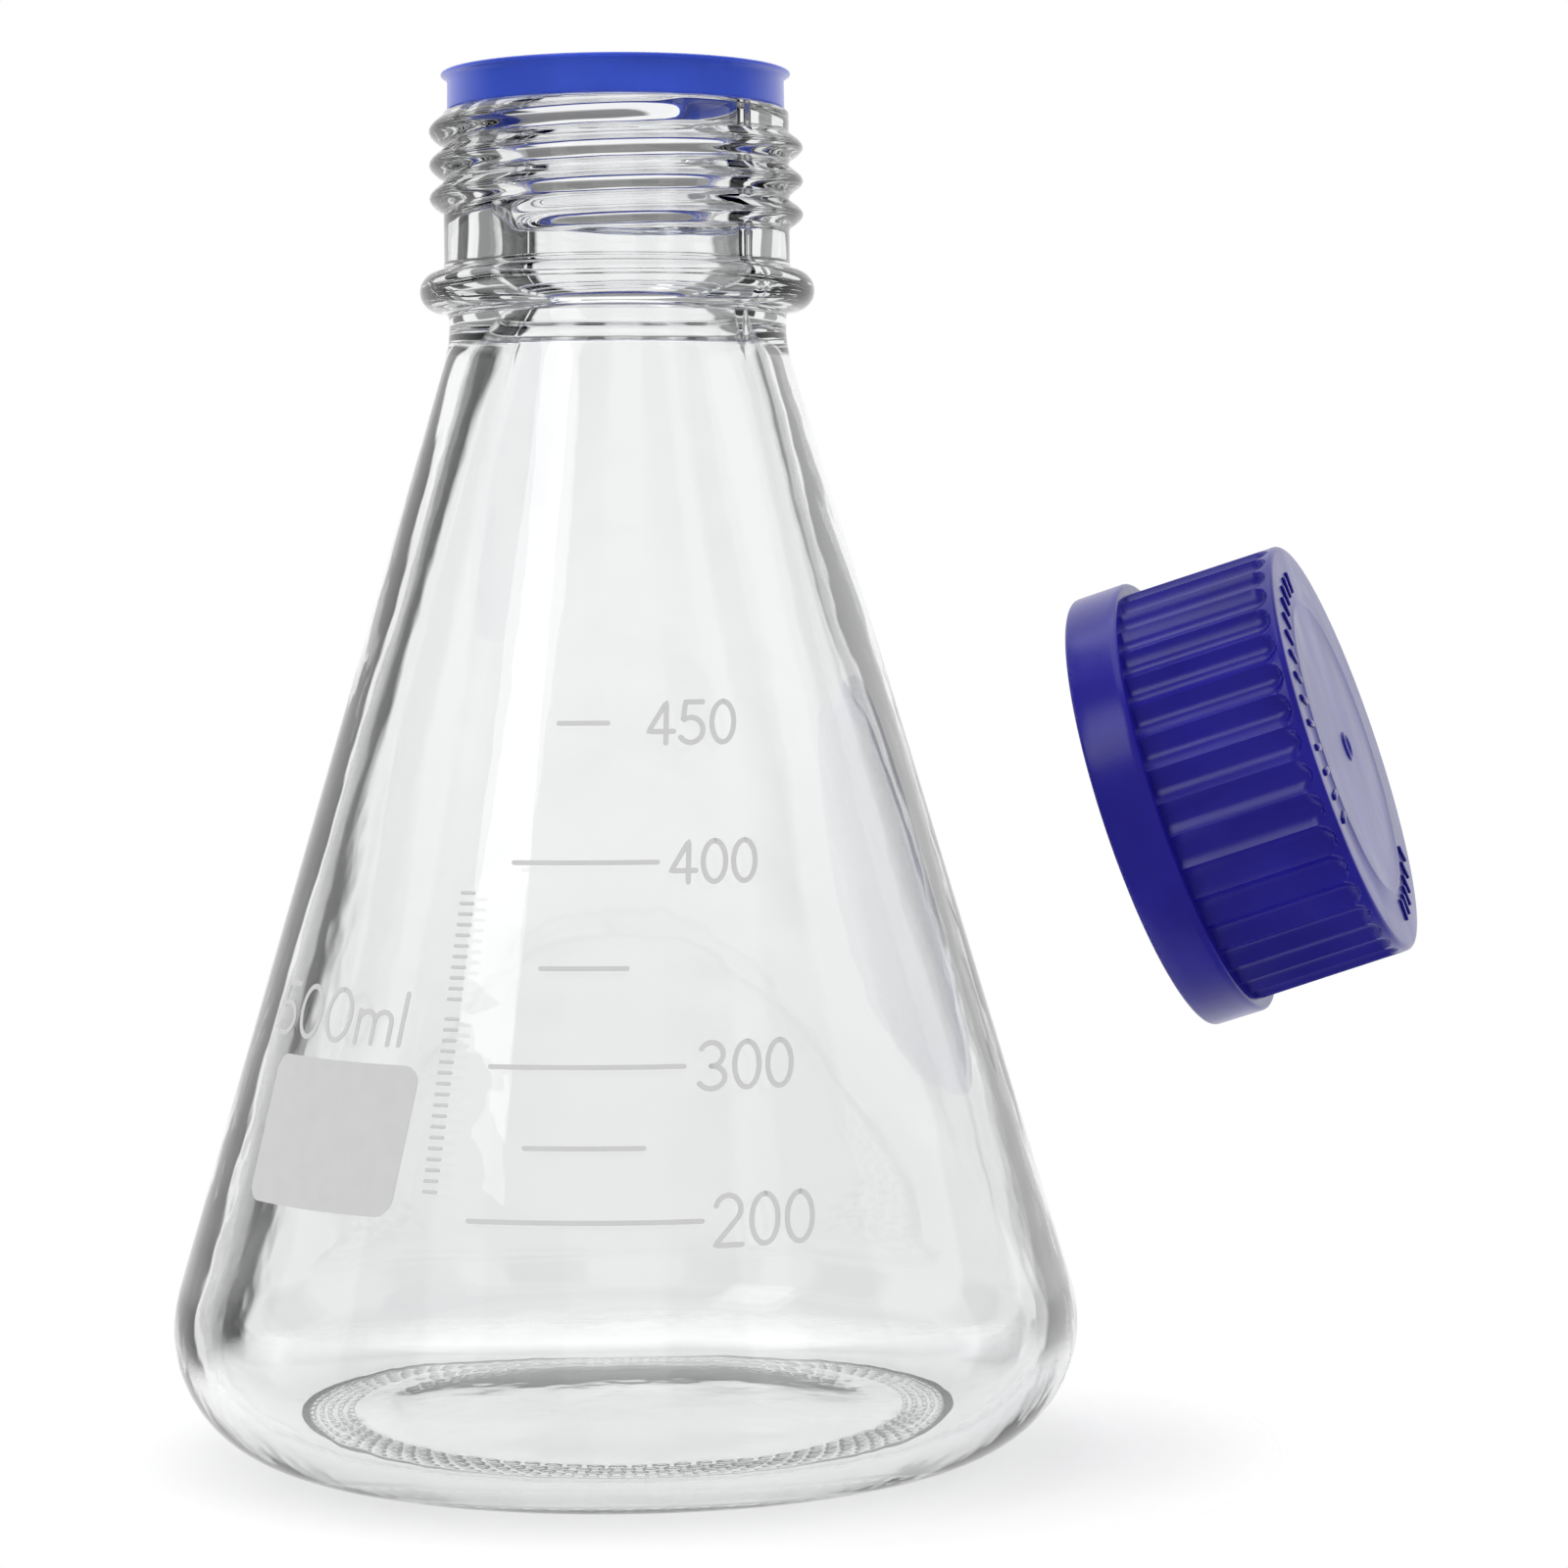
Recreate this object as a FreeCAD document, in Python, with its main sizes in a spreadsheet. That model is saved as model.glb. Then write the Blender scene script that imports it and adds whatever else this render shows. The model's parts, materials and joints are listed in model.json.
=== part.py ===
import FreeCAD, Part

import math
import os

import Sketcher

# Conical flask of clear glass with a screw neck, a push-on pouring ring and a screw cap.
# The flask stands on the XY plane with its axis on +Z. The cap is off, tilted in the air
# beside the flask. All sizes are in millimetres, and all angles in degrees.

SIZES = (
    ("wall", 2.8, "glass wall of the cone, square to its face"),
    ("floor_t", 3.2, "glass floor above the bearing ring"),
    ("push_up", 1.8, "rise of the floor's centre"),
    ("bearing_d", 66.0, "inner diameter of the bearing ring"),
    ("cone_angle", 16.54, "half angle of the cone"),
    ("shoulder_z", 133.0, "height where the cone meets the neck"),
    ("heel_round", 15.5, "outer radius of the heel"),
    ("shoulder_round", 14.0, "radius where the cone runs into the neck"),
    ("neck_d", 40.5, "neck below the bead"),
    ("bead_d", 47.4, "bead under the thread"),
    ("bead_z", 139.3, "height of the bead's middle"),
    ("bead_t", 5.0, "thickness of the bead"),
    ("bead_round", 2.3, "edge radius of the bead"),
    ("root_d", 41.5, "neck at the root of the thread"),
    ("spigot_z", 160.7, "height where the neck steps in for the ring"),
    ("spigot_d", 37.2, "spigot that the ring pushes onto"),
    ("rim_z", 163.5, "top of the glass"),
    ("bore_d", 30.4, "mouth of the flask"),
    ("thread_d", 44.8, "crest of the neck's thread"),
    ("pitch", 4.0, "rise of the thread in one turn"),
    ("thread_foot", 2.6, "width of the neck's ridge at its root"),
    ("thread_crest", 1.2, "width of the neck's ridge at its crest"),
    ("thread_start", 231.0, "angle of the ridge's lower end, from +X"),
    ("thread_z", 146.97, "height of the ridge's lower end"),
    ("thread_turns", 3.13, "turns of the neck's ridge"),
    ("ring_d", 40.4, "band of the pouring ring"),
    ("lip_d", 41.8, "pouring lip of the ring"),
    ("ring_foot_z", 160.9, "lower edge of the ring's band"),
    ("ring_top_z", 165.4, "top of the pouring lip"),
    ("ring_web", 1.0, "thickness of the ring over the rim"),
    ("ring_play", 0.2, "gap between the ring and the glass"),
    ("ring_bore_d", 31.0, "opening of the ring"),
    ("cap_tall", 25.5, "height of the cap"),
    ("cap_d", 51.2, "fluted part of the cap"),
    ("collar_d", 54.0, "collar of the cap"),
    ("collar_t", 6.5, "height of the collar"),
    ("cap_bore_d", 45.9, "inside of the cap between its ridges"),
    ("cap_crest_d", 42.7, "inside of the cap across its ridges"),
    ("cap_roof", 1.9, "thickness of the cap's roof"),
    ("cap_edge", 0.8, "radius of the cap's upper edge"),
    ("cap_foot", 1.9, "width of the cap's ridge at its root"),
    ("cap_ridge", 0.8, "width of the cap's ridge at its crest"),
    ("cap_thread_z", 4.0, "height of the lower end of the cap's ridge"),
    ("cap_turns", 2.25, "turns of the cap's ridge"),
    ("flute_count", 40.0, "flutes round the cap"),
    ("flute_round", 2.2, "radius of a flute"),
    ("flute_depth", 0.85, "depth of a flute"),
    ("flute_top", 1.6, "plain height above the flutes"),
    ("seal_outer_d", 39.0, "outside of the seal lip"),
    ("seal_inner_d", 32.4, "inside of the seal lip"),
    ("seal_t", 0.55, "height of the seal lip"),
    ("seal_play", 0.05, "gap between the seal lip and the roof"),
    ("mark_ring_d", 36.0, "raised ring on the cap's roof"),
    ("mark_w", 0.5, "width of the raised ring"),
    ("mark_t", 0.2, "height of the raised ring and the gate mark"),
    ("gate_d", 4.0, "gate mark in the middle of the roof"),
    ("cap_x", 63.5, "centre of the cap's open end"),
    ("cap_y", -0.8, "centre of the cap's open end"),
    ("cap_z", 76.3, "centre of the cap's open end"),
    ("cap_azimuth", -18.0, "direction that the roof faces, from +X"),
    ("cap_rise", 18.2, "angle of the cap's axis above level"),
    ("enamel_t", 0.12, "thickness of the fired enamel"),
    ("enamel_gap", 0.01, "gap between the enamel and the glass"),
    ("stroke", 0.6, "width of a printed line"),
    ("scale_angle", -96.0, "angle of the scale's middle, from +X"),
    ("digit_tall", 5.0, "height of a numeral"),
    ("digit_wide", 2.7, "width of a numeral"),
    ("digit_step", 3.5, "distance from one numeral to the next"),
    ("field_angle", -136.4, "angle of the marking field's middle"),
    ("field_wide", 25.0, "width of the marking field"),
    ("field_low", 33.8, "lower edge of the marking field"),
    ("field_high", 50.5, "upper edge of the marking field"),
    ("capacity_z", 55.4, "middle of the capacity mark"),
    ("row_angle", -116.5, "angle of the row of ticks beside the scale"),
    ("row_low", 37.0, "lower end of the row of ticks"),
    ("row_step", 1.8, "distance from one tick to the next"),
    ("row_wide", 2.0, "length of a tick"),
    ("tick_t", 0.5, "width of a tick"),
)

# Height of each line of the scale, its length, the volume beside it and the gap before
# the numerals. The shorter lines between have no volume.
SCALE = (
    (88.5, 6.4, "450", 4.2),
    (73.0, 16.8, "400", 1.3),
    (61.4, 10.3, "", 0.0),
    (50.7, 22.5, "300", 1.4),
    (42.0, 13.9, "", 0.0),
    (34.1, 26.7, "200", 1.1),
)

TICKS_IN_ROW = (11, 7)
TICK_GAP = 1.4
UNIT_BARS = 5

# Bars of each numeral: (side, level, is it upright). Sides run from -1 to 1, left to
# right, and levels from -1 at the foot to 1 at the head.
TOP = (0, 1, False)
MIDDLE = (0, 0, False)
FOOT = (0, -1, False)
HIGH_LEFT = (-1, 0.5, True)
HIGH_RIGHT = (1, 0.5, True)
LOW_LEFT = (-1, -0.5, True)
LOW_RIGHT = (1, -0.5, True)
NUMERALS = {
    "0": (TOP, FOOT, HIGH_LEFT, HIGH_RIGHT, LOW_LEFT, LOW_RIGHT),
    "2": (TOP, MIDDLE, FOOT, HIGH_RIGHT, LOW_LEFT),
    "3": (TOP, MIDDLE, FOOT, HIGH_RIGHT, LOW_RIGHT),
    "4": (MIDDLE, HIGH_LEFT, HIGH_RIGHT, LOW_RIGHT),
    "5": (TOP, MIDDLE, FOOT, HIGH_LEFT, LOW_RIGHT),
}

UP = FreeCAD.Vector(0, 0, 1)
CENTRE = FreeCAD.Vector(0, 0, 0)
NEAR = 0.01

doc = FreeCAD.newDocument("flask")
sheet = doc.addObject("Spreadsheet::Sheet", "sizes")


def fill_sheet():
    """Write every driving size to the sheet, under its own name."""
    for row, (name, number, note) in enumerate(SIZES, start=1):
        sheet.set(f"A{row}", name)
        sheet.set(f"B{row}", str(number))
        sheet.set(f"C{row}", note)
        sheet.setAlias(f"B{row}", name)
    doc.recompute()


def size(name):
    """A driving size, read from the sheet."""
    return float(sheet.get(name))


def origin_plane(body, role):
    """A body's own origin plane, found by its role."""
    return next(item for item in body.Origin.OriginFeatures if item.Role == role)


def make_body(name):
    return doc.addObject("PartDesign::Body", name)


def add_sketch(body, name, role):
    sketch = body.newObject("Sketcher::SketchObject", name)
    sketch.AttachmentSupport = [(origin_plane(body, role), "")]
    sketch.MapMode = "FlatFace"
    return sketch


def tie(sketch, kind, point, text, axis):
    """Hold one coordinate of a corner at a size, or on an axis of the sketch."""
    if text == "0":
        sketch.addConstraint(Sketcher.Constraint("PointOnObject", point, 1, axis))
        return
    value = float(sheet.evalExpression(text))
    number = sketch.addConstraint(Sketcher.Constraint(kind, -1, 1, point, 1, value))
    sketch.setExpression(f"Constraints[{number}]", text)


def outline(body, name, corners):
    """A closed outline in the XZ plane: each corner is a radius and a height."""
    sketch = add_sketch(body, name, "XZ_Plane")
    places = [[float(sheet.evalExpression(text)) for text in corner] for corner in corners]
    points = [FreeCAD.Vector(x, z, 0) for x, z in places]
    count = len(points)
    for index, point in enumerate(points):
        sketch.addGeometry(Part.LineSegment(point, points[(index + 1) % count]), False)
    for index in range(count):
        following = (index + 1) % count
        sketch.addConstraint(Sketcher.Constraint("Coincident", index, 2, following, 1))
    for index, (x, z) in enumerate(corners):
        tie(sketch, "DistanceX", index, x, -2)
        tie(sketch, "DistanceY", index, z, -1)
    return sketch


def turned(body, name, corners):
    """A solid of revolution about Z with the given outline."""
    sketch = outline(body, name + "_outline", corners)
    solid = body.newObject("PartDesign::Revolution", name)
    solid.Profile = sketch
    solid.ReferenceAxis = (sketch, ["V_Axis"])
    solid.Angle = 360
    body.Tip = solid
    doc.recompute()
    return solid


def circles_at(shape, radius, height):
    """Names of the round edges about Z with this radius and height."""
    names = []
    for number, edge in enumerate(shape.Edges, start=1):
        curve = edge.Curve
        if not isinstance(curve, Part.Circle):
            continue
        if abs(curve.Radius - radius) < NEAR and abs(curve.Center.z - height) < NEAR:
            names.append(f"Edge{number}")
    return names


def rounded(body, base, name, places, radius):
    """Round the circular edges at the given radii and heights."""
    edges = []
    for place in places:
        edges += circles_at(base.Shape, *[float(sheet.evalExpression(text)) for text in place])
    if len(edges) < len(places):
        raise RuntimeError(f"{name}: found {len(edges)} of {len(places)} edges")
    fillet = body.newObject("PartDesign::Fillet", name)
    fillet.Base = (base, edges)
    fillet.setExpression("Radius", radius)
    body.Tip = fillet
    doc.recompute()
    return fillet


def ridge(name, root_r, crest_r, foot, crest, low, start, turns):
    """A thread ridge: a trapezium swept up a right-handed helix."""
    helix = Part.makeHelix(size("pitch"), size("pitch") * turns, root_r)
    section = Part.makePolygon([
        FreeCAD.Vector(root_r, 0, -foot / 2),
        FreeCAD.Vector(crest_r, 0, -crest / 2),
        FreeCAD.Vector(crest_r, 0, crest / 2),
        FreeCAD.Vector(root_r, 0, foot / 2),
        FreeCAD.Vector(root_r, 0, -foot / 2),
    ])
    feature = doc.addObject("Part::Feature", name)
    feature.Shape = Part.Wire(helix.Edges).makePipeShell([section], True, True)
    feature.Placement = FreeCAD.Placement(
        FreeCAD.Vector(0, 0, low), FreeCAD.Rotation(UP, start))
    return feature


def joined(name, base, tool):
    """Two shapes as one solid."""
    fuse = doc.addObject("Part::Fuse", name)
    fuse.Base = base
    fuse.Tool = tool
    fuse.Refine = True
    doc.recompute()
    return fuse


def make_flask():
    foot = "sizes.neck_d / 2 + sizes.shoulder_z * tan(sizes.cone_angle * 1deg)"
    inset = "sizes.wall / cos(sizes.cone_angle * 1deg)"
    inner_foot = f"{foot} - {inset} - sizes.floor_t * tan(sizes.cone_angle * 1deg)"
    inner_neck_z = (
        f"sizes.shoulder_z + (sizes.neck_d / 2 - {inset} - sizes.bore_d / 2)"
        " / tan(sizes.cone_angle * 1deg)")
    neck = "sizes.neck_d / 2"
    bead = "sizes.bead_d / 2"
    root = "sizes.root_d / 2"
    spigot = "sizes.spigot_d / 2"
    bore = "sizes.bore_d / 2"
    bead_low = "sizes.bead_z - sizes.bead_t / 2"
    bead_high = "sizes.bead_z + sizes.bead_t / 2"
    body = make_body("glass_blank")
    glass = turned(body, "glass_shell", (
        ("0", "sizes.push_up"),
        ("sizes.bearing_d / 2", "0"),
        (foot, "0"),
        (neck, "sizes.shoulder_z"),
        (neck, bead_low),
        (bead, bead_low),
        (bead, bead_high),
        (root, bead_high),
        (root, "sizes.spigot_z"),
        (spigot, "sizes.spigot_z"),
        (spigot, "sizes.rim_z"),
        (bore, "sizes.rim_z"),
        (bore, inner_neck_z),
        (inner_foot, "sizes.floor_t"),
        ("0", "sizes.push_up + sizes.floor_t"),
    ))
    glass = rounded(body, glass, "heel", ((foot, "0"),), "sizes.heel_round")
    glass = rounded(body, glass, "inner_heel", ((inner_foot, "sizes.floor_t"),),
                    "sizes.heel_round - sizes.wall")
    glass = rounded(body, glass, "shoulder", ((neck, "sizes.shoulder_z"),),
                    "sizes.shoulder_round")
    glass = rounded(body, glass, "bead_edges", ((bead, bead_low), (bead, bead_high)),
                    "sizes.bead_round")
    buried = 0.4
    thread = ridge(
        "neck_ridge", size("root_d") / 2 - buried, size("thread_d") / 2,
        size("thread_foot"), size("thread_crest"),
        size("thread_z"), size("thread_start"), size("thread_turns"))
    return joined("flask_glass", body, thread)


def make_pouring_ring():
    band = "sizes.ring_d / 2"
    lip = "sizes.lip_d / 2"
    inside = "sizes.spigot_d / 2 + sizes.ring_play"
    bore = "sizes.ring_bore_d / 2"
    seat = "sizes.rim_z + sizes.ring_play"
    body = make_body("pouring_ring")
    turned(body, "ring_section", (
        (inside, "sizes.ring_foot_z"),
        (band, "sizes.ring_foot_z"),
        (band, "sizes.ring_top_z - 1.1"),
        (lip, "sizes.ring_top_z - 0.4"),
        (lip, "sizes.ring_top_z - 0.15"),
        (f"{lip} - 0.25", "sizes.ring_top_z"),
        (f"{lip} - 0.7", "sizes.ring_top_z"),
        (f"{band} - 1.3", f"{seat} + sizes.ring_web"),
        (bore, f"{seat} + sizes.ring_web"),
        (bore, seat),
        (inside, seat),
    ))
    return body


def cut_flutes(body, base):
    """Concave flutes up the side of the cap, from the collar to just under the roof."""
    sketch = add_sketch(body, "flute_outline", "XY_Plane")
    sketch.setExpression("AttachmentOffset.Base.z", "sizes.collar_t")
    reach = size("cap_d") / 2 - size("flute_depth") + size("flute_round")
    circle = Part.Circle(FreeCAD.Vector(reach, 0, 0), UP, size("flute_round"))
    sketch.addGeometry(circle, False)
    sketch.addConstraint(Sketcher.Constraint("PointOnObject", 0, 3, -1))
    place = sketch.addConstraint(Sketcher.Constraint("DistanceX", -1, 1, 0, 3, reach))
    sketch.setExpression(
        f"Constraints[{place}]", "sizes.cap_d / 2 - sizes.flute_depth + sizes.flute_round")
    width = sketch.addConstraint(Sketcher.Constraint("Radius", 0, size("flute_round")))
    sketch.setExpression(f"Constraints[{width}]", "sizes.flute_round")
    doc.recompute()
    before = base.Shape.Volume
    flute = body.newObject("PartDesign::Pocket", "flute")
    flute.Profile = sketch
    flute.Reversed = True
    flute.setExpression("Length", "sizes.cap_tall - sizes.collar_t - sizes.flute_top")
    body.Tip = flute
    doc.recompute()
    if flute.Shape.Volume > before - 1:
        raise RuntimeError("the flute cuts nothing")
    pattern = body.newObject("PartDesign::PolarPattern", "flutes")
    pattern.Originals = [flute]
    pattern.Axis = (sketch, ["N_Axis"])
    pattern.Angle = 360
    pattern.setExpression("Occurrences", "sizes.flute_count")
    body.Tip = pattern
    doc.recompute()
    return pattern


def make_cap():
    outer = "sizes.cap_d / 2"
    collar = "sizes.collar_d / 2"
    bore = "sizes.cap_bore_d / 2"
    body = make_body("cap_blank")
    cap = turned(body, "cap_shell", (
        (bore, "0"),
        (collar, "0"),
        (collar, "sizes.collar_t"),
        (outer, "sizes.collar_t"),
        (outer, "sizes.cap_tall"),
        ("0", "sizes.cap_tall"),
        ("0", "sizes.cap_tall - sizes.cap_roof"),
        (bore, "sizes.cap_tall - sizes.cap_roof"),
    ))
    cap = rounded(body, cap, "roof_edge", ((outer, "sizes.cap_tall"),), "sizes.cap_edge")
    cut_flutes(body, cap)
    buried = 0.4
    thread = ridge(
        "cap_ridge_helix", size("cap_bore_d") / 2 + buried, size("cap_crest_d") / 2,
        size("cap_foot"), size("cap_ridge"), size("cap_thread_z"), 0, size("cap_turns"))
    return joined("screw_cap", body, thread)


def make_seal_lip():
    """A thin ring under the roof that closes on the pouring ring."""
    inner = "sizes.seal_inner_d / 2"
    outer = "sizes.seal_outer_d / 2"
    top = "sizes.cap_tall - sizes.cap_roof - sizes.seal_play"
    body = make_body("cap_seal_lip")
    turned(body, "seal_section", (
        (f"{inner} + 0.3", f"{top} - sizes.seal_t"),
        (f"{outer} - 0.3", f"{top} - sizes.seal_t"),
        (outer, top),
        (inner, top),
    ))
    return body


def make_roof_marks():
    """The raised ring and the round gate mark on the cap's roof."""
    ring_outer = doc.addObject("Part::Cylinder", "mark_ring_outside")
    ring_outer.setExpression("Radius", "(sizes.mark_ring_d + sizes.mark_w) / 2")
    ring_inner = doc.addObject("Part::Cylinder", "mark_ring_inside")
    ring_inner.setExpression("Radius", "(sizes.mark_ring_d - sizes.mark_w) / 2")
    gate = doc.addObject("Part::Cylinder", "gate_mark")
    gate.setExpression("Radius", "sizes.gate_d / 2")
    for disc in (ring_outer, ring_inner, gate):
        disc.setExpression("Height", "sizes.mark_t")
        disc.setExpression("Placement.Base.z", "sizes.cap_tall")
    ring = doc.addObject("Part::Cut", "mark_ring")
    ring.Base = ring_outer
    ring.Tool = ring_inner
    marks = doc.addObject("Part::Compound", "cap_roof_marks")
    marks.Links = [ring, gate]
    doc.recompute()
    return marks


def cap_placement():
    """Where the loose cap hangs: its open end's centre, and the way its roof faces."""
    azimuth = math.radians(size("cap_azimuth"))
    rise = math.radians(size("cap_rise"))
    facing = FreeCAD.Vector(
        math.cos(rise) * math.cos(azimuth), math.cos(rise) * math.sin(azimuth), math.sin(rise))
    centre = FreeCAD.Vector(size("cap_x"), size("cap_y"), size("cap_z"))
    return FreeCAD.Placement(centre, FreeCAD.Rotation(UP, facing))


def cone_radius(height):
    """Outer radius of the glass cone at a height."""
    slope = math.tan(math.radians(size("cone_angle")))
    return size("neck_d") / 2 + (size("shoulder_z") - height) * slope


def patch(low, high, angle, width):
    """A thin plate of enamel on the cone, its width measured round the glass."""
    slope = math.radians(size("cone_angle"))
    inner = size("enamel_gap") / math.cos(slope)
    outer = inner + size("enamel_t") / math.cos(slope)
    section = Part.makePolygon([
        FreeCAD.Vector(cone_radius(low) + inner, 0, low),
        FreeCAD.Vector(cone_radius(low) + outer, 0, low),
        FreeCAD.Vector(cone_radius(high) + outer, 0, high),
        FreeCAD.Vector(cone_radius(high) + inner, 0, high),
        FreeCAD.Vector(cone_radius(low) + inner, 0, low),
    ])
    sweep = math.degrees(width / cone_radius((low + high) / 2))
    plate = Part.Face(section).revolve(CENTRE, UP, sweep)
    plate.rotate(CENTRE, UP, angle - sweep / 2)
    return plate


def at_offset(angle, height, distance):
    """The angle that lies a distance to the right round the cone."""
    return angle + math.degrees(distance / cone_radius(height))


def bar(angle, height, across, up, wide, tall):
    """One printed bar, placed from an anchor on the cone."""
    middle = height + up
    return patch(middle - tall / 2, middle + tall / 2, at_offset(angle, height, across), wide)


def numeral(text, angle, height, across):
    """The bars of one numeral, which stand a little apart."""
    wide = size("digit_wide")
    tall = size("digit_tall")
    stroke = size("stroke")
    gap = 0.12
    bars = []
    for side, level, upright in NUMERALS[text]:
        x = across + side * (wide - stroke) / 2
        z = level * (tall - stroke) / 2
        if upright:
            bars.append(bar(angle, height, x, z, stroke, (tall - stroke) / 2 - stroke - gap))
        else:
            bars.append(bar(angle, height, x, z, wide, stroke))
    return bars


def number(text, angle, height, left):
    """A row of numerals that starts at a distance to the right of the anchor."""
    bars = []
    for index, letter in enumerate(text):
        across = left + size("digit_wide") / 2 + index * size("digit_step")
        bars += numeral(letter, angle, height, across)
    return bars


def enamel(name, plates):
    feature = doc.addObject("Part::Feature", name)
    feature.Shape = Part.makeCompound(plates)
    feature.Placement = FreeCAD.Placement()
    return feature


def make_scale():
    """The six lines of the scale and the volumes beside four of them."""
    stroke = size("stroke")
    angle = size("scale_angle")
    lines = []
    volumes = []
    for height, length, text, gap in SCALE:
        lines.append(bar(angle, height, 0, 0, length, stroke))
        volumes += number(text, angle, height, length / 2 + gap)
    return enamel("scale_lines", lines), enamel("scale_numerals", volumes)


def make_capacity_mark():
    """The flask's size over the marking field, with plain bars for its unit."""
    angle = size("field_angle")
    height = size("capacity_z")
    left = -size("field_wide") / 2 - 2.0
    bars = number("500", angle, height, left)
    start = left + 3 * size("digit_step") + size("stroke")
    step = 2 * size("stroke")
    for index in range(UNIT_BARS):
        bars.append(bar(angle, height, start + index * step, -1, size("stroke"), 3))
    return enamel("capacity_mark", bars)


def make_tick_row():
    """Two runs of short ticks, one over the other, beside the scale."""
    ticks = []
    height = size("row_low")
    for count in TICKS_IN_ROW:
        for _ in range(count):
            ticks.append(
                bar(size("row_angle"), height, 0, 0, size("row_wide"), size("tick_t")))
            height += size("row_step")
        height += TICK_GAP
    return enamel("tick_row", ticks)


def make_marking_field():
    plate = patch(
        size("field_low"), size("field_high"), size("field_angle"), size("field_wide"))
    return enamel("marking_field", [plate])


def check(parts):
    """Stop if any object failed, or if a sub-part's shape is missing or broken."""
    for item in doc.Objects:
        if "Invalid" in item.State or "Error" in item.State:
            raise RuntimeError(f"{item.Label} failed: {item.State}")
    for part in parts:
        shape = part.Shape
        if shape.isNull() or not shape.isValid() or not shape.Solids:
            raise RuntimeError(f"{part.Label} has no sound shape")
        box = shape.BoundBox
        print(f"{part.Label}: {len(shape.Solids)} solids, {shape.Volume:.1f} mm3,"
              f" z {box.ZMin:.2f} to {box.ZMax:.2f}, x {box.XMin:.2f} to {box.XMax:.2f}")


def main():
    fill_sheet()
    parts = [make_flask(), make_pouring_ring(), make_marking_field(), make_capacity_mark()]
    parts += make_scale()
    parts.append(make_tick_row())
    cap_parts = [make_cap(), make_seal_lip(), make_roof_marks()]
    for part in cap_parts:
        part.Placement = cap_placement()
    parts += cap_parts
    doc.recompute()
    check(parts)
    os.makedirs("parts", exist_ok=True)
    for part in parts:
        part.Shape.exportStep(f"parts/{part.Label}.step")


main()
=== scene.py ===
import json
import math

import bmesh
import bpy
import numpy as np
from mathutils import Matrix, Vector


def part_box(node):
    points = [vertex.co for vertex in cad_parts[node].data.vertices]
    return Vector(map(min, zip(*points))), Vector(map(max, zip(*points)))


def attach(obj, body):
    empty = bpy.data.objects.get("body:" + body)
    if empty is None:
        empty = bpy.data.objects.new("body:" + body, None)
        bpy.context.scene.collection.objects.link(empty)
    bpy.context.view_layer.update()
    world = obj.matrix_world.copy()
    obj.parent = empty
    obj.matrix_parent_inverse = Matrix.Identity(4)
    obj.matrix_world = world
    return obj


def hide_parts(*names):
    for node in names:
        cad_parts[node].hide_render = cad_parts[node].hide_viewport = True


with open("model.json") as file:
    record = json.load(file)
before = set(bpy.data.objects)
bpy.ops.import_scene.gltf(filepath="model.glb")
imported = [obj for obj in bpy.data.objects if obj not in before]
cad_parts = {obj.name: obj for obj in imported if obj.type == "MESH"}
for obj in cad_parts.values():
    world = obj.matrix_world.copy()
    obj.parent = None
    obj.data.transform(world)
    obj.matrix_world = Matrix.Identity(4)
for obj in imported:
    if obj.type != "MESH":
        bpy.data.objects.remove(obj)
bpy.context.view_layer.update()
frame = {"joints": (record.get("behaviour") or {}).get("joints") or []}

bl_info = {
    "name": "Conical Flask",
    "version": (1, 0, 0),
    "blender": (4, 5, 0),
    "location": "View3D > Sidebar > Flask",
    "description": "Builds a conical glass flask with its pouring ring, print and screw cap",
    "category": "Add Mesh",
}

MM = 0.001
FULL_TURN = 2 * math.pi
GLASS_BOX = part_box("flask_glass")
RING_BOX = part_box("pouring_ring")
FIELD_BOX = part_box("marking_field")
RIM_Z = GLASS_BOX[1][2] / MM
RING_FOOT_Z = RING_BOX[0][2] / MM
RING_TOP_Z = RING_BOX[1][2] / MM
LIP_R = RING_BOX[1][0] / MM
FLOOR_R = 0.09
FLOOR_SOLID_R = 0.06
FLOOR_GONE_R = 0.088
TURN = next(joint for joint in frame["joints"] if joint["name"] == "cap_turn")


# Sizes that a user may change, in millimetres and degrees.

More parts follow.
